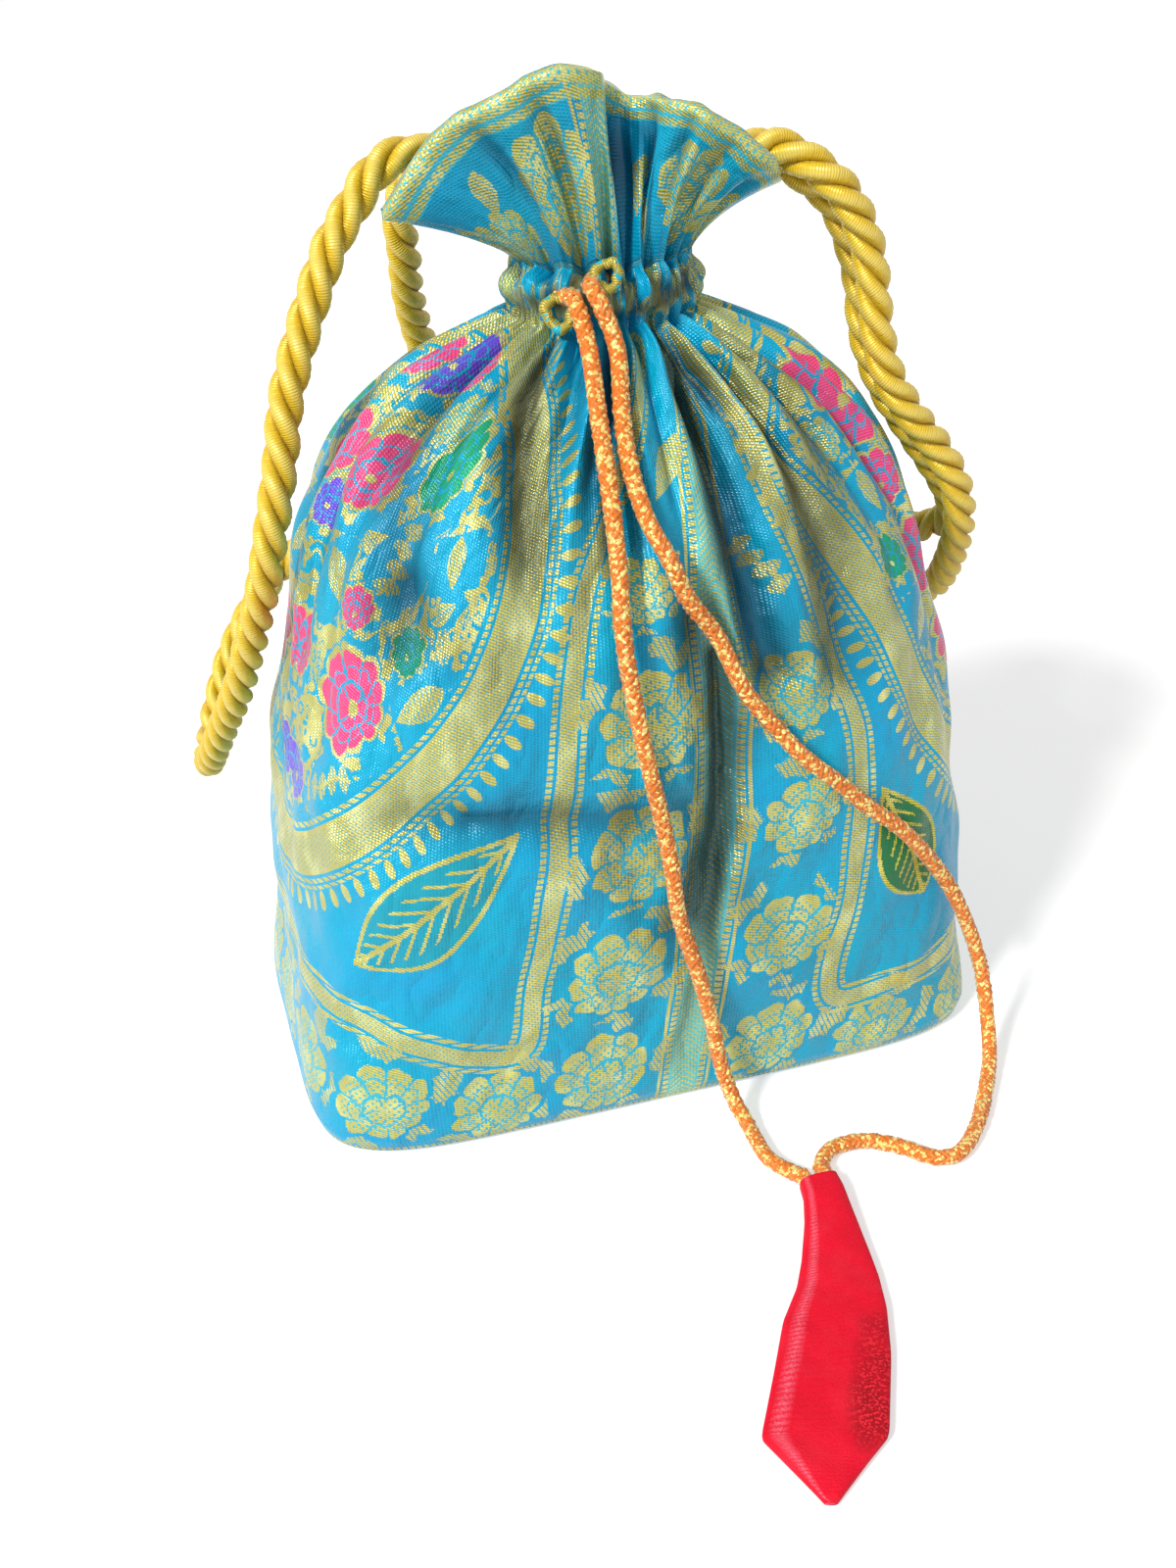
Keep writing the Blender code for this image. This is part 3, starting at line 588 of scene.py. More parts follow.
def write_corners(mesh, name, *grids):
    """Three grids of values, one column wider than the faces, kept at each face's four corners."""
    grid = np.stack(np.broadcast_arrays(*grids), -1)
    quads = np.stack([grid[:-1, :-1], grid[:-1, 1:], grid[1:, 1:], grid[1:, :-1]], 2)
    add_attribute(mesh, name, "CORNER", quads)


def near_line(route, across, up):
    """Signed distance to a line on the flat cloth, and how far along it the nearest place is."""
    line = curve_points(route, 2.0)
    gap, place = nearest(line, across, up)
    return gap, np.interp(place, np.arange(len(line)), travelled(line))


def near_border(left_route, right_route, left, panel, up):
    """The same for a border that has one line on the panel's left half and one on its right."""
    left_gap, left_along = near_line(left_route, panel, up)
    right_gap, right_along = near_line(right_route, panel, up)
    return np.where(left, left_gap, -right_gap), np.where(left, left_along, right_along)


def listed(groups):
    """Motifs as rows of across, up, size, turn in radians, kind and tint."""
    return [(x, y, size, math.radians(turn), kind, tint)
            for kind, tint, places in groups for x, y, size, turn in places]


def place_motifs(mesh, panel, up, on_ruffle, top):
    """Gives each face the motif that it is nearest to, if one reaches it."""
    middle_x, middle_y = ((grid[:-1, :-1] + grid[1:, 1:]) / 2 for grid in (panel, up))
    above = np.broadcast_to(on_ruffle[1:], middle_x.shape)
    best = np.where(above, RUFFLE_MOTIF_REACH, MOTIF_REACH)
    chosen = np.zeros((*middle_x.shape, 6))
    chosen[..., 2] = 1.0
    rows = [(row, ~above) for row in listed(MOTIFS)]
    rows += [((x, top - down, *rest), above) for x, down, *rest in listed(RUFFLE_MOTIFS)]
    for row, where in rows:
        reach = np.hypot(middle_x - row[0], middle_y - row[1]) / row[2]
        nearer = (reach < best) & where
        best = np.where(nearer, reach, best)
        chosen[nearer] = row
    for_corners = np.repeat(chosen.reshape(-1, 6), 4, axis=0)
    add_attribute(mesh, "motif_place", "CORNER", for_corners[:, [0, 1, 3]])
    add_attribute(mesh, "motif_kind", "CORNER", for_corners[:, [2, 4, 5]])


def lay_pattern(mesh, rings, angle, neck_row, hem_row, shaded, casing):
    """Writes the flat cloth's coordinates, the pattern's places, the painted shade and the casing's share
    onto the pouch's corners.
    """
    closed = np.append(angle, angle[0] + 2 * math.pi)
    fine = np.linspace(-math.pi, math.pi, 2881)
    way_round = travelled(section(np.full(len(fine), SECTIONS[4][0]), fine - math.pi / 2))
    way_round = (way_round - np.interp(0, fine, way_round)) * MM
    u = np.interp((closed + 1.5 * math.pi) % (2 * math.pi) - math.pi, fine, way_round)
    u = u + np.cumsum(np.append(0, np.diff(u) < -PANEL)) * 4 * PANEL
    v = np.append(0, np.cumsum(np.linalg.norm(np.diff(rings, axis=0), axis=-1).mean(1))) * MM
    v = v - v[len(BASE_RINGS) + 1]
    top = v[hem_row]
    row = np.arange(len(v))[:, None]
    on_ruffle = row >= neck_row
    across, up = np.broadcast_arrays(u, np.where(row > hem_row, 2 * top - v[:, None], v[:, None]))
    panel = (across - smooth_columns(MIDDLE, up)[0] + 2 * PANEL) % (4 * PANEL) - 2 * PANEL
    panel = np.where(panel > PANEL, 2 * PANEL - panel, panel)
    panel = np.where(panel < -PANEL, -2 * PANEL - panel, panel)
    left = panel < 0
    along_hem = travelled(np.vstack([rings[hem_row], rings[hem_row][:1]])) * MM
    half_hem = along_hem[-1] / 2
    ridge = np.interp(math.radians(STRIPE_RIDGE), closed, along_hem)
    panel = np.where(on_ruffle, (along_hem - ridge + half_hem) % (2 * half_hem) - half_hem, panel)
    across = np.where(on_ruffle, along_hem, across)
    frame_gap, _ = near_border(FRAME_LEFT, FRAME_RIGHT, left, panel, up)
    oval_gap, oval_along = near_border(OVAL_LEFT, OVAL_RIGHT, left, panel, up)
    frame_gap, oval_gap = (np.where(on_ruffle, FAR_AWAY, gap) for gap in (frame_gap, oval_gap))
    write_corners(mesh, "cloth", panel, up, across)
    write_corners(mesh, "bands", oval_gap, oval_along, frame_gap)
    write_corners(mesh, "hem", top - up, abs(panel), 0)
    # Painted shade, which darkens the cloth's colour, and the casing's share.
    write_corners(mesh, "neck", np.hstack([shaded, shaded[:, :1]]), casing[:, None], 0)
    place_motifs(mesh, panel, up, on_ruffle, top)


def make_pouch(made_of):
    angle = column_angles()
    body, plain_neck, body_painted_shade, casing = body_rings(angle)
    hem = hem_points(angle)
    folds = ruffle_folds(angle)
    ruffle = pushed_in(ruffle_rings(body[-1], hem), folds)
    lining = pushed_in(ruffle_rings(plain_neck, hem), folds)
    lining = pushed_in(lining, np.linspace(NECK_CLOTH, CLOTH, len(lining))[:, None])
    under = [body[0] * np.array([share, share, 1]) for share in (TINY, *BASE_RINGS)]
    floor = np.array([*lining[0].mean(0)[:2], FUNNEL_FLOOR])
    closing = [floor + (lining[0] - floor) * np.array([share, share, 0]) for share in (0.6, 0.25, TINY)]
    rings = np.concatenate([under, body, ruffle[1:], lining[::-1], closing])
    neck_row = len(under) + len(body)
    rise = np.linspace(0, 1, len(ruffle))[1:, None]
    # Painted shade for each ring: the body's own, the ruffle's folds and its foot above the neck, the lining
    # in its folds and more the deeper it goes in, and the funnel's floor in full.
    shaded = np.concatenate([
        np.zeros((len(under), COLUMNS)),
        body_painted_shade,
        np.clip(folds[1:] / DARK_RUFFLE + 0.55 * (1 - ramp(rise, RUFFLE_FOOT)), 0, 1),
        ramp(folds[::-1], DARK_GROOVE) + np.linspace(0.0, 0.8, len(lining))[:, None],
        np.ones((len(closing), COLUMNS)),
    ])
    at_casing = np.zeros(len(rings))
    at_casing[len(under):neck_row] = casing
    at_casing[neck_row - 4:neck_row + 5] = np.linspace(1, 0, 9)
    mesh = grid_mesh("pouch_cloth", rings)
    lay_pattern(mesh, rings, angle, neck_row, neck_row + len(ruffle) - 2, shaded, at_casing)
    return link("pouch_cloth", mesh, made_of)


def frames_along(points):
    """Two unit vectors across a path at each point, turning as little as they can."""
    tangent = unit(np.gradient(points, axis=0))
    side = np.cross(tangent[0], (0.0, 0.0, 1.0))
    if np.linalg.norm(side) < 0.1:
        side = np.cross(tangent[0], (1.0, 0.0, 0.0))
    sides = []
    for way in tangent:
        side = unit(side - way * (side @ way))
        sides.append(side)
    return np.array(sides), np.cross(tangent, sides)


def strand_rings(points, offset, turn, wide, thick, sides):
    """Rings of one strand that winds round a path; turn is its angle at each point."""
    across, up = frames_along(points)
    out = across * np.cos(turn)[:, None] + up * np.sin(turn)[:, None]
    line = points + out * np.broadcast_to(offset, turn.shape)[:, None]
    along = unit(np.gradient(line, axis=0))
    out = unit(out - along * (out * along).sum(1, keepdims=True))
    side = np.cross(along, out)
    ring = np.linspace(0, 2 * math.pi, sides, endpoint=False)[:, None]
    return line[:, None] + side[:, None] * (wide * np.cos(ring)) + out[:, None] * (thick * np.sin(ring))


def strands_mesh(name, strands):
    """One mesh of several strands, each closed at its ends, with places along and round each."""
    points, faces, places = [], [], []
    start = 0
    for number, rings in enumerate(strands):
        rows, count = rings.shape[:2]
        index = start + np.arange(rows * count).reshape(rows, count)
        after = np.roll(index, -1, 1)
        faces += np.stack([index[:-1], index[1:], after[1:], after[:-1]], -1).reshape(-1, 4).tolist()
        faces += [index[0].tolist(), index[-1][::-1].tolist()]
        points.append(rings.reshape(-1, 3))
        place = np.broadcast_arrays(travelled(rings.mean(1))[:, None], np.arange(count) / count, number)
        places.append(np.stack(place, -1).reshape(-1, 3))
        start += rows * count
    mesh = new_mesh(name, np.concatenate(points), faces)
    add_attribute(mesh, "strand", "POINT", np.concatenate(places))
    return mesh


def whipping(points):
    """Thread wound round a rope's end to hold its strands together."""
    length = WHIPPING_TURNS * WHIPPING_PITCH
    wanted = np.linspace(WHIPPING_START, WHIPPING_START + length, WHIPPING_TURNS * 18)
    line = read_between(wanted, travelled(points), points)
    turn = 2 * math.pi * wanted / WHIPPING_PITCH
    return strand_rings(line, ROPE_RADIUS, turn, WHIPPING_THREAD, WHIPPING_THREAD, 6)


def declare(made, route):
    """Works out points along the route of a limp cord that ends in the object at both of its ends, keeps none
    of them and hands the cord back unchanged.
    """
    [tuple(p) for p in curve_points(route, PATH_STEP)]
    return made


def make_rope(name, route, made_of):
    points = curve_points(route, ROPE_STEP)
    length = travelled(points)[-1]
    turn = -2 * math.pi * np.linspace(0, length, len(points)) / ROPE_PITCH
    strands = [
        strand_rings(points, STRAND_OFFSET, turn + start, STRAND_RADIUS, STRAND_RADIUS, 12)
        for start in np.arange(ROPE_STRANDS) * 2 * math.pi / ROPE_STRANDS
    ]
    strands += [whipping(points), whipping(points[::-1])]
    made = link(name, strands_mesh(name, strands), made_of)
    return declare(made, route)


def braid_mesh(name, points):
    """Flat strands over and under each other round a path, as many each way."""
    along = 2 * math.pi * np.linspace(0, travelled(points)[-1], len(points)) / BRAID_PITCH
    strands = []
    for side in (1, -1):
        for start in np.arange(BRAID_STRANDS) * 2 * math.pi / BRAID_STRANDS:
            weave = np.cos(BRAID_STRANDS * along + side * start * BRAID_STRANDS / 2)
            offset = BRAID_OFFSET + BRAID_LIFT * side * weave
            strands.append(strand_rings(points, offset, side * along + start, BRAID_WIDE, BRAID_THICK, 6))
    return strands_mesh(name, strands)


def make_hidden_cord(name, made_of):
    """The drawstring's way round the neck in its channel, from the left opening to the right one."""
    turn = np.radians(CHANNEL_ANGLES)
    ring = np.stack([CHANNEL_HALF_WIDE * np.cos(turn), CHANNEL_HALF_DEEP * np.sin(turn), 0 * turn], -1)
    route = [LEFT_OPENING, *LEFT_WAY_OUT[::-1], *(ring + CHANNEL_MIDDLE), *RIGHT_WAY_OUT, RIGHT_OPENING]
    return link(name, braid_mesh(name, curve_points(route, BRAID_STEP)), made_of)


def make_cord(name, opening, way, run, tag_end, made_of):
    """A free run of the drawstring, from an opening in the casing to the tag."""
    way = np.array(way)
    start = np.array(opening) + way * GAP
    before_tag = np.array(tag_end) + np.array([0, END_LENGTH, 0])
    route = [start, start + way * END_LENGTH, *run, before_tag, tag_end]
    points = curve_points(route, BRAID_STEP)
    made = link(name, braid_mesh(name, points), made_of)
    return declare(made, route)


def make_loop(name, middle, radius, thick, made_of):
    """A small worked loop of cloth that faces out from the neck."""
    look = Vector(LOOP_LOOK).normalized()
    side = look.cross(Vector((0, 0, 1))).normalized()
    rise = side.cross(look)
    turn = np.linspace(0, 2 * math.pi, 73)
    uneven = 1 + 0.10 * np.sin(3 * turn + 0.7) + 0.05 * np.sin(7 * turn)
    flat = np.cos(turn)[:, None] * np.array(side) * 0.88 + np.sin(turn)[:, None] * np.array(rise)
    points = np.array(middle) + flat * (radius * uneven)[:, None]
    strands = [
        strand_rings(points, thick * 0.30, 2 * turn + start, thick * 0.85, thick * 0.45, 12)
        for start in (0, math.pi)
    ]
    return link(name, strands_mesh(name, strands), made_of)


def make_tag(made_of):
    """A padded necktie shape, flat side down."""
    rows = read_between(np.linspace(0, len(TAG) - 1, TAG_ROWS), np.arange(len(TAG)), TAG)
    rows[1:-1] = (rows[:-2] + 2 * rows[1:-1] + rows[2:]) / 4
    turn = np.linspace(0, 2 * math.pi, TAG_SIDES, endpoint=False)
    across, up = (np.sign(part) * abs(part) ** TAG_ROUNDING for part in (np.cos(turn), np.sin(turn)))
    left, right, thick = rows[:, None, 0:2], rows[:, None, 2:4], rows[:, 4:]
    flat = (left + right) / 2 + across[:, None] * (right - left) / 2
    height = TAG_LIFT + thick / 2 + up * thick / 2
    dents = np.sin(flat[..., 0] * 520 + flat[..., 1] * 90) * np.sin(flat[..., 1] * 310 + 0.8)
    sunk = np.clip(up, 0, 1) * np.linspace(0, 1, TAG_ROWS)[:, None] ** 0.2
    height = height - sunk * TAG_DENT * (0.5 + 0.5 * dents)
    rings = np.concatenate([flat, height[..., None]], -1)
    first, last = (ring.mean(0) + (ring - ring.mean(0)) * TINY for ring in (rings[0], rings[-1]))
    rings = np.concatenate([[first], rings, [last]])
    mesh = grid_mesh("tag_velvet", rings)
    place = np.broadcast_arrays(0.5 + 0.5 * across, np.linspace(0, 1, len(rings))[:, None], up)
    add_attribute(mesh, "tag_place", "POINT", np.stack(place, -1))
    made = link("tag_velvet", mesh, made_of)
    return made


def linear(code):
    """A colour written as #RRGGBB, in the linear values that shaders take."""
    parts = [int(code[k:k + 2], 16) / 255 for k in (1, 3, 5)]
    return tuple(c / 12.92 if c <= 0.04045 else ((c + 0.055) / 1.055) ** 2.4 for c in parts)


def step(operation):
    """A method that adds one arithmetic node to the graph."""
    def method(self, *others):
        return self.make(operation, *others)
    return method


class Field:
    """A number in a shader graph, built up with plain arithmetic. A mask is 1 inside and 0 outside."""

    def __init__(self, tree, socket):
        self.tree = tree
        self.socket = socket

    def make(self, operation, *others):
        made = self.tree.nodes.new("ShaderNodeMath")
        made.operation = operation
        for place, other in enumerate((self, *others)):
            if isinstance(other, Field):
                self.tree.links.new(other.socket, made.inputs[place])
            else:
                made.inputs[place].default_value = other
        return Field(self.tree, made.outputs[0])

    __add__ = step("ADD")
    __sub__ = step("SUBTRACT")
    __mul__ = step("MULTIPLY")
    __truediv__ = step("DIVIDE")
    __lt__ = step("LESS_THAN")
    __gt__ = step("GREATER_THAN")
    __abs__ = step("ABSOLUTE")
    __and__ = step("MULTIPLY")
    __or__ = step("MAXIMUM")
    at_least = step("MAXIMUM")
    at_most = step("MINIMUM")
    power = step("POWER")
    root = step("SQRT")
    sine = step("SINE")
    cosine = step("COSINE")
    angle_from = step("ARCTAN2")
    snapped = step("SNAP")

    def __invert__(self):
        return self * -1.0 + 1.0

    def equals(self, number):
        return self.make("COMPARE", number, 0.1)

    def near(self, place, half):
        return abs(self - place) < half

    def share_of(self, period):
        """Place within each repeat of a period, from 0 to 1."""
        return (self / period).make("FRACT")

    def wave(self, period):
        """A smooth wave between 0 and 1."""
        return (self * (2 * math.pi / period)).sine() * 0.5 + 0.5


class Graph:
    """A material's shader graph."""

    def __init__(self, name):
        self.material = bpy.data.materials.new(name)
        self.material.use_nodes = True
        self.tree = self.material.node_tree
        self.shader = self.tree.nodes["Principled BSDF"]

    def node(self, kind, **inputs):
        made = self.tree.nodes.new(kind)
        for name, value in inputs.items():
            self.feed(made.inputs[name.replace("_", " ")], value)
        return made

    def feed(self, target, value):
        if isinstance(value, Field):
            self.tree.links.new(value.socket, target)
        elif isinstance(value, bpy.types.NodeSocket):
            self.tree.links.new(value, target)
        else:
            target.default_value = value

    def parts(self, vector):
        """The three numbers of a vector or a colour."""
        made = self.node("ShaderNodeSeparateXYZ", Vector=vector)
        return [Field(self.tree, part) for part in made.outputs]

    def attribute(self, name):
        made = self.node("ShaderNodeAttribute")
        made.attribute_name = name
        return self.parts(made.outputs["Vector"])

    def strand(self):
        """Place along a strand in millimetres, place round it from 0 to 1, and the strand's number."""
        along, around, which = self.attribute("strand")
        return along * MM, around, which

    def vector(self, x, y, z=0.0):
        return self.node("ShaderNodeCombineXYZ", X=x, Y=y, Z=z).outputs[0]

    def noise(self, where, scale, detail=2.0):
        made = self.node("ShaderNodeTexNoise", Vector=where, Scale=scale, Detail=detail)
        return Field(self.tree, made.outputs[0])

    def mix(self, share, first, second):
        """A colour between two, each a #RRGGBB code or another mix."""
        made = self.tree.nodes.new("ShaderNodeMix")
        made.data_type = "RGBA"
        self.feed(made.inputs[0], share)
        for place, colour in ((6, first), (7, second)):
            self.feed(made.inputs[place], (*linear(colour), 1.0) if isinstance(colour, str) else colour)
        return made.outputs[2]

    def layers(self, colour, *above):
        """A colour with others laid over it, each given as its share and its colour."""
        for share, over in above:
            colour = self.mix(share, colour, over)
        return colour

    def bump(self, height, strength, distance, **under):
        made = self.node("ShaderNodeBump", Height=height, Strength=strength, Distance=distance, **under)
        return made.outputs[0]

    def set(self, **values):
        for name, value in values.items():
            self.feed(self.shader.inputs[name.replace("_", " ")], value)
        return self.material


def turned(x, y, angle):
    """A place seen in axes that are turned by an angle."""
    cosine, sine = angle.cosine(), angle.sine()
    return x * cosine + y * sine, y * cosine - x * sine


def flower_fields(x, y):
    """Masks of a fan-like flower of size one: petals, edge, rim, drawn lines, core and leaves."""
    raised = y + 0.30
    far = (x * x + raised * raised).root()
    turn = raised.angle_from(x)
    lobes = abs((turn * 5.0).cosine())
    reach = far / ((turn.sine() * 0.26 + 0.84) * (lobes.power(0.6) * 0.18 + 0.82))
    petals = reach < 1.0
    edge = (reach > 0.88) & petals
    rim = (reach > 1.0) & (reach < 1.12)
    rings = ((reach > 0.40) & (reach < 0.47)) | ((reach > 0.70) & (reach < 0.735))
    inner_splits = (abs((turn * 2.5).sine()) < 0.2) & (reach < 0.40)
    splits = ((lobes < 0.2) & (reach > 0.47)) | inner_splits
    leaves = (reach > 1.18) & (reach < 1.55) & (abs((turn * 2.5 + 0.6).cosine()) > 0.76)
    return petals, edge, rim, rings | splits, reach < 0.13, leaves, far


def leaf_fields(x, y):
    """Masks of a pointed leaf of half length one: its body, outline and veins."""
    half = ~(x * x) * (x * 0.18 + 0.46)
    side = abs(y)
    body = (side < half) & (abs(x) < 1.0)
    outline = body & (side > half - 0.055)
    ribs = ((x - side * 1.3).share_of(0.20) < 0.26) & (side < half * 0.60)
    return body, outline, body & ((side < 0.03) | ribs)


class Cloth:
    """What the brocade reads from the mesh, in millimetres, and the weaves that it is drawn in."""

    def __init__(self, graph):
        across, self.up, self.u = graph.attribute("cloth")
        self.oval, self.along, self.frame = graph.attribute("bands")
        self.hem_gap, self.from_middle, _ = graph.attribute("hem")
        # Painted shade, which darkens the colour, and the casing's share.
        self.shaded, self.casing, _ = graph.attribute("neck")
        self.across = across
        self.place = graph.vector(across, self.up)
        self.stepped_x = across + self.u.snapped(THREAD) - self.u
        self.stepped_y = self.up.snapped(THREAD)
        u, up = self.u, self.up
        self.hatch = (u * 0.9 + up * 0.45).share_of(1.25) < 0.74
        self.speckle = ((u + up * 0.8).share_of(2.0) < 0.60) | ((u * 0.9 - up).share_of(2.0) < 0.56)
        self.dots = ((u + up).share_of(1.5) < 0.68) | ((u - up).share_of(1.5) < 0.64)
        self.dashes = up.share_of(1.8) < 0.70


class Motif:
    """The flower, leaf or sprig chosen for each place of the cloth, as masks of its threads."""

    def __init__(self, graph, cloth):
        centre_x, centre_y, lean = graph.attribute("motif_place")
        size, kind, tint = graph.attribute("motif_kind")
        x, y = turned(cloth.stepped_x - centre_x, cloth.stepped_y - centre_y, lean)
        x, y = x / size, y / size
        bend = graph.noise(cloth.place, 0.16, 1.0) - 0.5
        flower = flower_fields(x + bend * 0.34, y + bend * 0.28)
        petals, edge, rim, lines, core, leaves, far = flower
        leaves = leaves & (cloth.hem_gap > CLEAR_OF_HEM)
        body, outline, veins = leaf_fields(x, y)
        is_gold, is_bright, is_leaf, is_sprig = map(kind.equals, (GOLD_FLOWER, BRIGHT_FLOWER, LEAF, SPRIG))
        plain = petals & ~lines
        gold_flower = is_gold & ((plain & (cloth.speckle | edge)) | ((leaves | core) & cloth.hatch))
        gold_leaf = is_leaf & (outline | veins | (body & tint.equals(GOLD) & cloth.hatch))
        from_stem = abs(y - (x * 3.0).sine() * 0.16)
        leaflets = (from_stem < abs((x * 6.5).sine()) * 0.42) & cloth.hatch
        sprig = is_sprig & (abs(x) < 1.0) & ((from_stem < 0.05) | leaflets)
        self.gold = gold_flower | (is_bright & (rim | leaves | core)) | gold_leaf | sprig
        self.ground = is_gold * petals
        self.bright = is_bright & plain & ~core
        self.green_leaf = is_leaf & body & tint.equals(GREEN)
        self.teal_leaf = is_leaf & body & tint.equals(TEAL)
        self.bare = self.teal_leaf & ~(outline | veins)
        self.violet, self.green = tint.equals(VIOLET), tint.equals(GREEN)
        covered = is_leaf * (abs(x) < 1.1) + ~is_leaf * (far < 1.22)
        self.room = (kind < 0.5) | (covered < 0.5)


def filler_threads(graph, cloth):
    """Vines, small leaves and blooms scattered inside the ovals."""
    drift = graph.noise(cloth.place, 0.055, 2.0)
    vines = drift.near(0.5, 0.014) | drift.near(0.42, 0.010)
    cells = graph.node("ShaderNodeTexVoronoi", Vector=cloth.place, Scale=0.15)
    cells.voronoi_dimensions = "2D"
    chance, pick, _ = graph.parts(cells.outputs["Color"])
    cell_x, cell_y, _ = graph.parts(cells.outputs["Position"])
    x, y = turned(cloth.stepped_x - cell_x, cloth.stepped_y - cell_y, chance * (2 * math.pi))
    x, y = x / SMALL_LEAF, y / SMALL_LEAF
    leaf, _, veins = leaf_fields(x, y)
    far = (x * x + y * y).root()
    bloom = far < abs((y.angle_from(x) * 2.5).cosine()) * 0.30 + 0.50
    bloom = bloom & ~far.near(0.24, 0.07)
    is_bloom = pick > 0.62
    inside = (cloth.oval < -11.5) & (cloth.hem_gap > 70.0)
    return inside & (vines | (leaf & ~veins & ~is_bloom) | (bloom & is_bloom))


def band_threads(cloth):
    """Oval borders with drops, corner frames, the middle stripe, the hem's rows and the base's row."""
    oval, frame_gap, middle, hem_gap = cloth.oval, abs(cloth.frame), cloth.from_middle, cloth.hem_gap
    wide = oval.near(-2.0, 5.8) & (cloth.dots | ~oval.near(-2.0, 4.6))
    thin = oval.near(-9.4, 0.7) | oval.near(5.4, 0.6) | oval.near(7.2, 0.5)
    tear_x = cloth.along.share_of(4.7) - 0.5
    tear_y = (oval - 11.0) / 3.1
    tears = (tear_x * tear_x * 14.0 + tear_y * tear_y) < (tear_y * -0.25 + 0.75)
    medallion = (wide | (thin & cloth.dashes) | tears) & (hem_gap > CLEAR_OF_HEM)
    frames = ((frame_gap < 2.3) & cloth.dots) | (frame_gap.near(3.9, 0.75) & cloth.dashes)
    chevron = ((cloth.up + middle * 0.8).share_of(1.7) < 0.46) & ((cloth.up - middle).share_of(1.3) < 0.8)
    stripe = ((middle < 3.6) & chevron) | (middle.near(5.2, 0.9) & cloth.dashes) | middle.near(7.2, 0.45)
    hem = ((hem_gap < 2.5) | hem_gap.near(4.3, 0.9)) & cloth.speckle
    base_row = cloth.up.near(3.5, 0.8) & (cloth.u.share_of(1.6) < 0.66)
    return medallion | frames | (stripe & (hem_gap > 1.0)) | hem | base_row


def make_brocade():
    graph = Graph("brocade_weave")
    cloth = Cloth(graph)
    motif = Motif(graph, cloth)
    patches = graph.noise(graph.vector(cloth.u, cloth.up * 0.6), 0.14)
    gathered = (cloth.casing + (patches - 0.5) * 2.6) > 0.86
    gathered = gathered & (cloth.casing > 0.05) & (cloth.hem_gap > 20.0)
    filler = filler_threads(graph, cloth) & motif.room
    gold = (motif.gold | band_threads(cloth) | filler | (gathered & cloth.hatch)) & ~motif.bare
    threads = (cloth.up + cloth.u * 0.35).wave(0.72)
    fuzz = graph.noise(graph.vector(cloth.u, cloth.up * 6.0), 0.9)
    worn = graph.noise(cloth.place, 0.03, 3.0)
    petals = graph.layers(
        graph.mix(threads * 0.6, "#F01468", "#FF74AC"),
        (motif.violet, "#6E48DC"),
        (motif.green, "#10A068"),
    )
    silk = graph.layers(
        graph.mix(threads * 0.28 + fuzz * 0.6, "#0086B4", "#00CCEC"),
        ((worn - 0.40) * 1.4, "#009CE0"),
        ((cloth.hem_gap < 5.6) * 0.5, "#5CD8E0"),
        ((cloth.from_middle < 4.4) * (cloth.hem_gap > 1.0) * 0.70, "#7CDCD2"),
        (motif.ground * 0.45, "#4CC8D0"),
        (motif.teal_leaf * 0.55, "#1C9AA0"),
        (motif.green_leaf, "#0A7440"),
        (gathered * (patches > 0.60) * 0.6, "#1FA06A"),
        (motif.bright * 0.95, petals),
    )
    zari = graph.mix(threads * 0.55 + fuzz * 0.45, "#988608", "#F6E440")
    zari = graph.mix((patches - 0.48) * 3.0, zari, "#FFF48C")
    cover = gold * (threads * 0.38 + 0.60)
    # Painted shade: deep teal under the silk and deep olive under the gold, laid over the colour by the
    # painted shade at up to 0.82.
    painted_shade_colour = graph.mix(cover, "#023048", "#40380A")
    weave = threads * cloth.u.wave(0.9) + cover * 0.8 + fuzz * 0.3
    fine = graph.bump(weave, 0.45, 0.00028)
    soft = graph.noise(cloth.place, 0.11, 3.0)
    crumple = abs(graph.noise(graph.vector(cloth.across * 1.2, cloth.up * 0.8), 0.05) - 0.5) * 2.0
    return graph.set(
        Base_Color=graph.mix(cloth.shaded * 0.82, graph.mix(cover, silk, zari), painted_shade_colour),
        Roughness=cover * 0.03 + 0.27,
        Metallic=cover * 0.40 + 0.10,
        Specular_IOR_Level=0.3,
        Sheen_Weight=0.08,
        Sheen_Roughness=0.35,
        Anisotropic=0.35,
        Normal=graph.bump(soft + crumple * 1.6, 0.7, 0.0018, Normal=fine),
    )


def make_cloth_edge():
    """Rolled brocade with its gold threads on show."""
    graph = Graph("rolled_brocade_edge")
    along, around, which = graph.strand()
    threads = (along + around * 1.5).wave(0.5)
    patch = graph.noise(graph.vector(along, around, which * 3.0), 0.5)
    colour = graph.layers(graph.mix(threads * 0.7, "#8C7C22", "#E8D860"), (patch > 0.56, "#1CB4C8"))
    return graph.set(Base_Color=colour, Roughness=0.4, Metallic=0.25, Sheen_Weight=0.2, Sheen_Roughness=0.35,
                     Normal=graph.bump(threads + patch, 0.5, 0.0002))


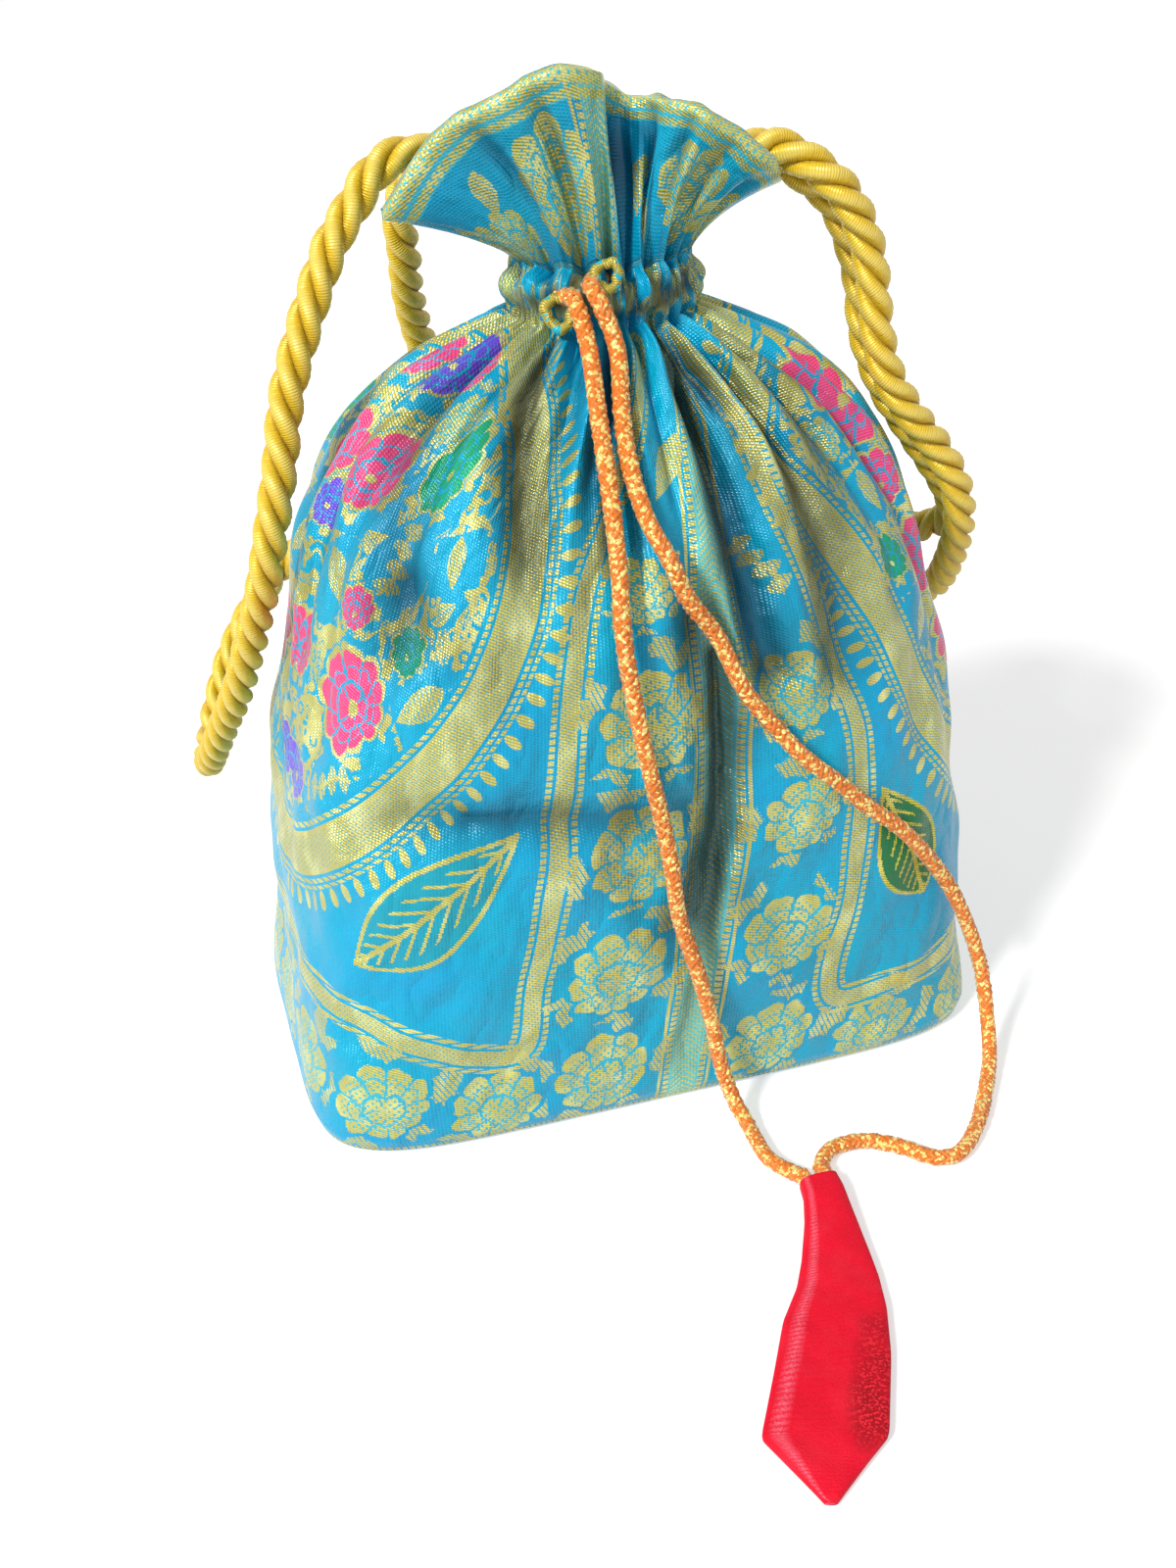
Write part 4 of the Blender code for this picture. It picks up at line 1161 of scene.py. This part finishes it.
def make_gold_rope():
    graph = Graph("gold_satin_strands")
    along, around, _ = graph.strand()
    ridge = abs((along / 0.55 + around).share_of(1.0) - 0.5) * 2.0
    uneven = graph.noise(graph.vector(along, around * 3.0), 0.35, 3.0)
    threads = graph.noise(graph.vector(along, around * 0.4), 2.2)
    # How far a strand's surface faces out from the rope, from 1 on its outer crest to -1 on its inner side.
    out = (around * (2 * math.pi)).sine()
    colour = graph.layers(
        graph.mix(ridge * 0.45 + threads * 0.55, "#FFDC20", "#BC900E"),
        ((uneven - 0.45) * 1.4, "#E8C020"),
        # Painted highlight: pale yellow on the strands' outer crests. Painted shade: deep olive on their
        # inner sides, in the grooves between strands.
        ((out - 0.60) * 0.9, "#FFF08C"),
        (out * -0.9 + 0.30, "#5C4A0C"),
    )
    return graph.set(Base_Color=colour, Roughness=0.36, Metallic=0.20, Specular_IOR_Level=0.6,
                     Sheen_Weight=0.2, Sheen_Roughness=0.3, Anisotropic=0.5,
                     Normal=graph.bump(ridge * -0.8 + threads * 0.7, 0.6, 0.00024))


def make_orange_braid():
    graph = Graph("orange_braid_threads")
    along, around, which = graph.strand()
    fibre = graph.noise(graph.vector(along * 0.6, around * 9.0, which), 1.6)
    spots = graph.noise(graph.vector(along, which * 5.0, around), 0.75, 1.0)
    flecked = (spots > 0.54) & (fibre > 0.40)
    thread = abs(around.share_of(0.25) - 0.5) * 2.0
    colour = graph.layers(graph.mix(fibre * 0.9, "#C8520A", "#FF9A28"), (flecked * 0.95, "#FFE88C"))
    return graph.set(Base_Color=colour, Roughness=0.42, Metallic=flecked * 0.5, Sheen_Weight=0.3,
                     Sheen_Roughness=0.4, Normal=graph.bump(thread + fibre, 0.6, 0.0002))


def make_velvet():
    graph = Graph("red_velvet_pile")
    where = graph.node("ShaderNodeNewGeometry").outputs["Position"]
    across, along, _ = graph.attribute("tag_place")
    pile = graph.noise(where, 2200.0)
    rubbed = graph.noise(where, 120.0, 3.0)
    # Painted sheen: a pink line, ribbed across, down the tag's left side near its folded edge.
    sheen_line_gap = abs(across - 0.15 - (along * 5.0).sine() * 0.03 - (rubbed - 0.5) * 0.06)
    ribs = (along * 100.0 + pile * 1.5).wave(1.0)
    far_x, far_y = (across - 0.90) / 0.26, (along - 0.70) / 0.17
    pressed = ~(far_x * far_x + far_y * far_y) + (rubbed - 0.5) * 1.4
    pressed = pressed.at_least(0.0).at_most(1.0)
    glitter = graph.noise(where, 1500.0, 1.0) > 0.55
    colour = graph.layers(
        graph.mix(pile, "#D00020", "#FF0C34"),
        ((rubbed - 0.5) * 0.9, "#FF3A50"),
        # Painted sheen: pink along that line.
        ((sheen_line_gap * -11.0 + 1.0).at_least(0.0) * (ribs * 0.6 + 0.1), "#FF7C94"),
        (pressed * 0.80, "#96000E"),
        (glitter * pressed * 0.8, "#FF2C40"),
    )
    return graph.set(Base_Color=colour, Roughness=0.70, Sheen_Weight=0.35, Sheen_Roughness=0.3,
                     Specular_IOR_Level=0.25, Sheen_Tint=(1.0, 0.25, 0.35, 1.0),
                     Normal=graph.bump(pile + rubbed * 0.6 + ribs * 0.15, 0.5, 0.0004))


def background_rays(tree):
    """1 for rays that show the background, straight or in a reflection, and 0 for light on the object."""
    path = tree.nodes.new("ShaderNodeLightPath")
    kinds = ("Is Camera Ray", "Is Glossy Ray", "Is Transmission Ray")
    camera, mirrored, through = (Field(tree, path.outputs[kind]) for kind in kinds)
    return camera | mirrored | through


def make_floor_white():
    """A pale floor that is seen as white outside the shadows."""
    graph = Graph("floor_white")
    return graph.set(Base_Color=(0.72, 0.72, 0.73, 1.0), Roughness=0.9, Specular_IOR_Level=0.1,
                     Emission_Color=(1.0, 1.0, 1.0, 1.0),
                     Emission_Strength=background_rays(graph.tree) * FLOOR_GLOW)


def make_camera():
    right = Vector(CAMERA_RIGHT).normalized()
    up = Vector(CAMERA_UP).normalized()
    back = right.cross(up)
    made = add("camera", bpy.data.cameras.new("camera"))
    made.data.lens = LENS
    made.data.sensor_width = SENSOR
    made.data.sensor_fit = "AUTO"
    made.data.clip_start = 0.01
    made.matrix_world = Matrix.Translation(CAMERA_PLACE) @ Matrix((right, up, back)).transposed().to_4x4()
    bpy.context.scene.camera = made


def make_stage():
    mesh = bpy.data.meshes.new("floor")
    corners = [(x * FLOOR_HALF, y * FLOOR_HALF, 0) for x, y in ((-1, -1), (1, -1), (1, 1), (-1, 1))]
    mesh.from_pydata(corners, [], [(0, 1, 2, 3)])
    link("floor", mesh, make_floor_white())


def make_world():
    world = bpy.data.worlds.new("studio")
    bpy.context.scene.world = world
    world.use_nodes = True
    tree = world.node_tree
    background = tree.nodes["Background"]
    background.inputs["Color"].default_value = (1, 1, 1, 1)
    tree.links.new((background_rays(tree) * (1.0 - SKY) + SKY).socket, background.inputs["Strength"])


def make_sun():
    data = bpy.data.lights.new("key", "SUN")
    data.energy = SUN_POWER
    data.angle = math.radians(SUN_SOFTNESS)
    data.color = (1.0, 0.985, 0.95)
    add("key", data).rotation_euler = Vector(SUN_FROM).to_track_quat("Z", "Y").to_euler()


bpy.context.scene.view_settings.view_transform = "Standard"
make_camera()
make_stage()
make_world()
make_sun()

cloth_edge = make_cloth_edge()
orange = make_orange_braid()
gold = make_gold_rope()
stand_ins = (
    (make_pouch(make_brocade()), "pouch", "turquoise_brocade"),
    (make_hidden_cord("braid_in_channel", orange), "drawstring_in_channel", "orange_cord"),
    (make_loop("cord_loop_left", *LEFT_LOOP, cloth_edge), "pouch", "turquoise_brocade"),
    (make_loop("cord_loop_right", *RIGHT_LOOP, cloth_edge), "pouch", "turquoise_brocade"),
    (make_cord("braid_left", *LEFT_CORD, orange), "drawstring_left", "orange_cord"),
    (make_cord("braid_right", *RIGHT_CORD, orange), "drawstring_right", "orange_cord"),
    (make_tag(make_velvet()), "tag", "red_velvet"),
    (make_rope("rope_left", HANDLE_LEFT, gold), "handle_left", "gold_rope"),
    (make_rope("rope_right", HANDLE_RIGHT, gold), "handle_right", "gold_rope"),
)
for piece, node, slot in stand_ins:
    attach(piece, BODY)
    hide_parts(node)
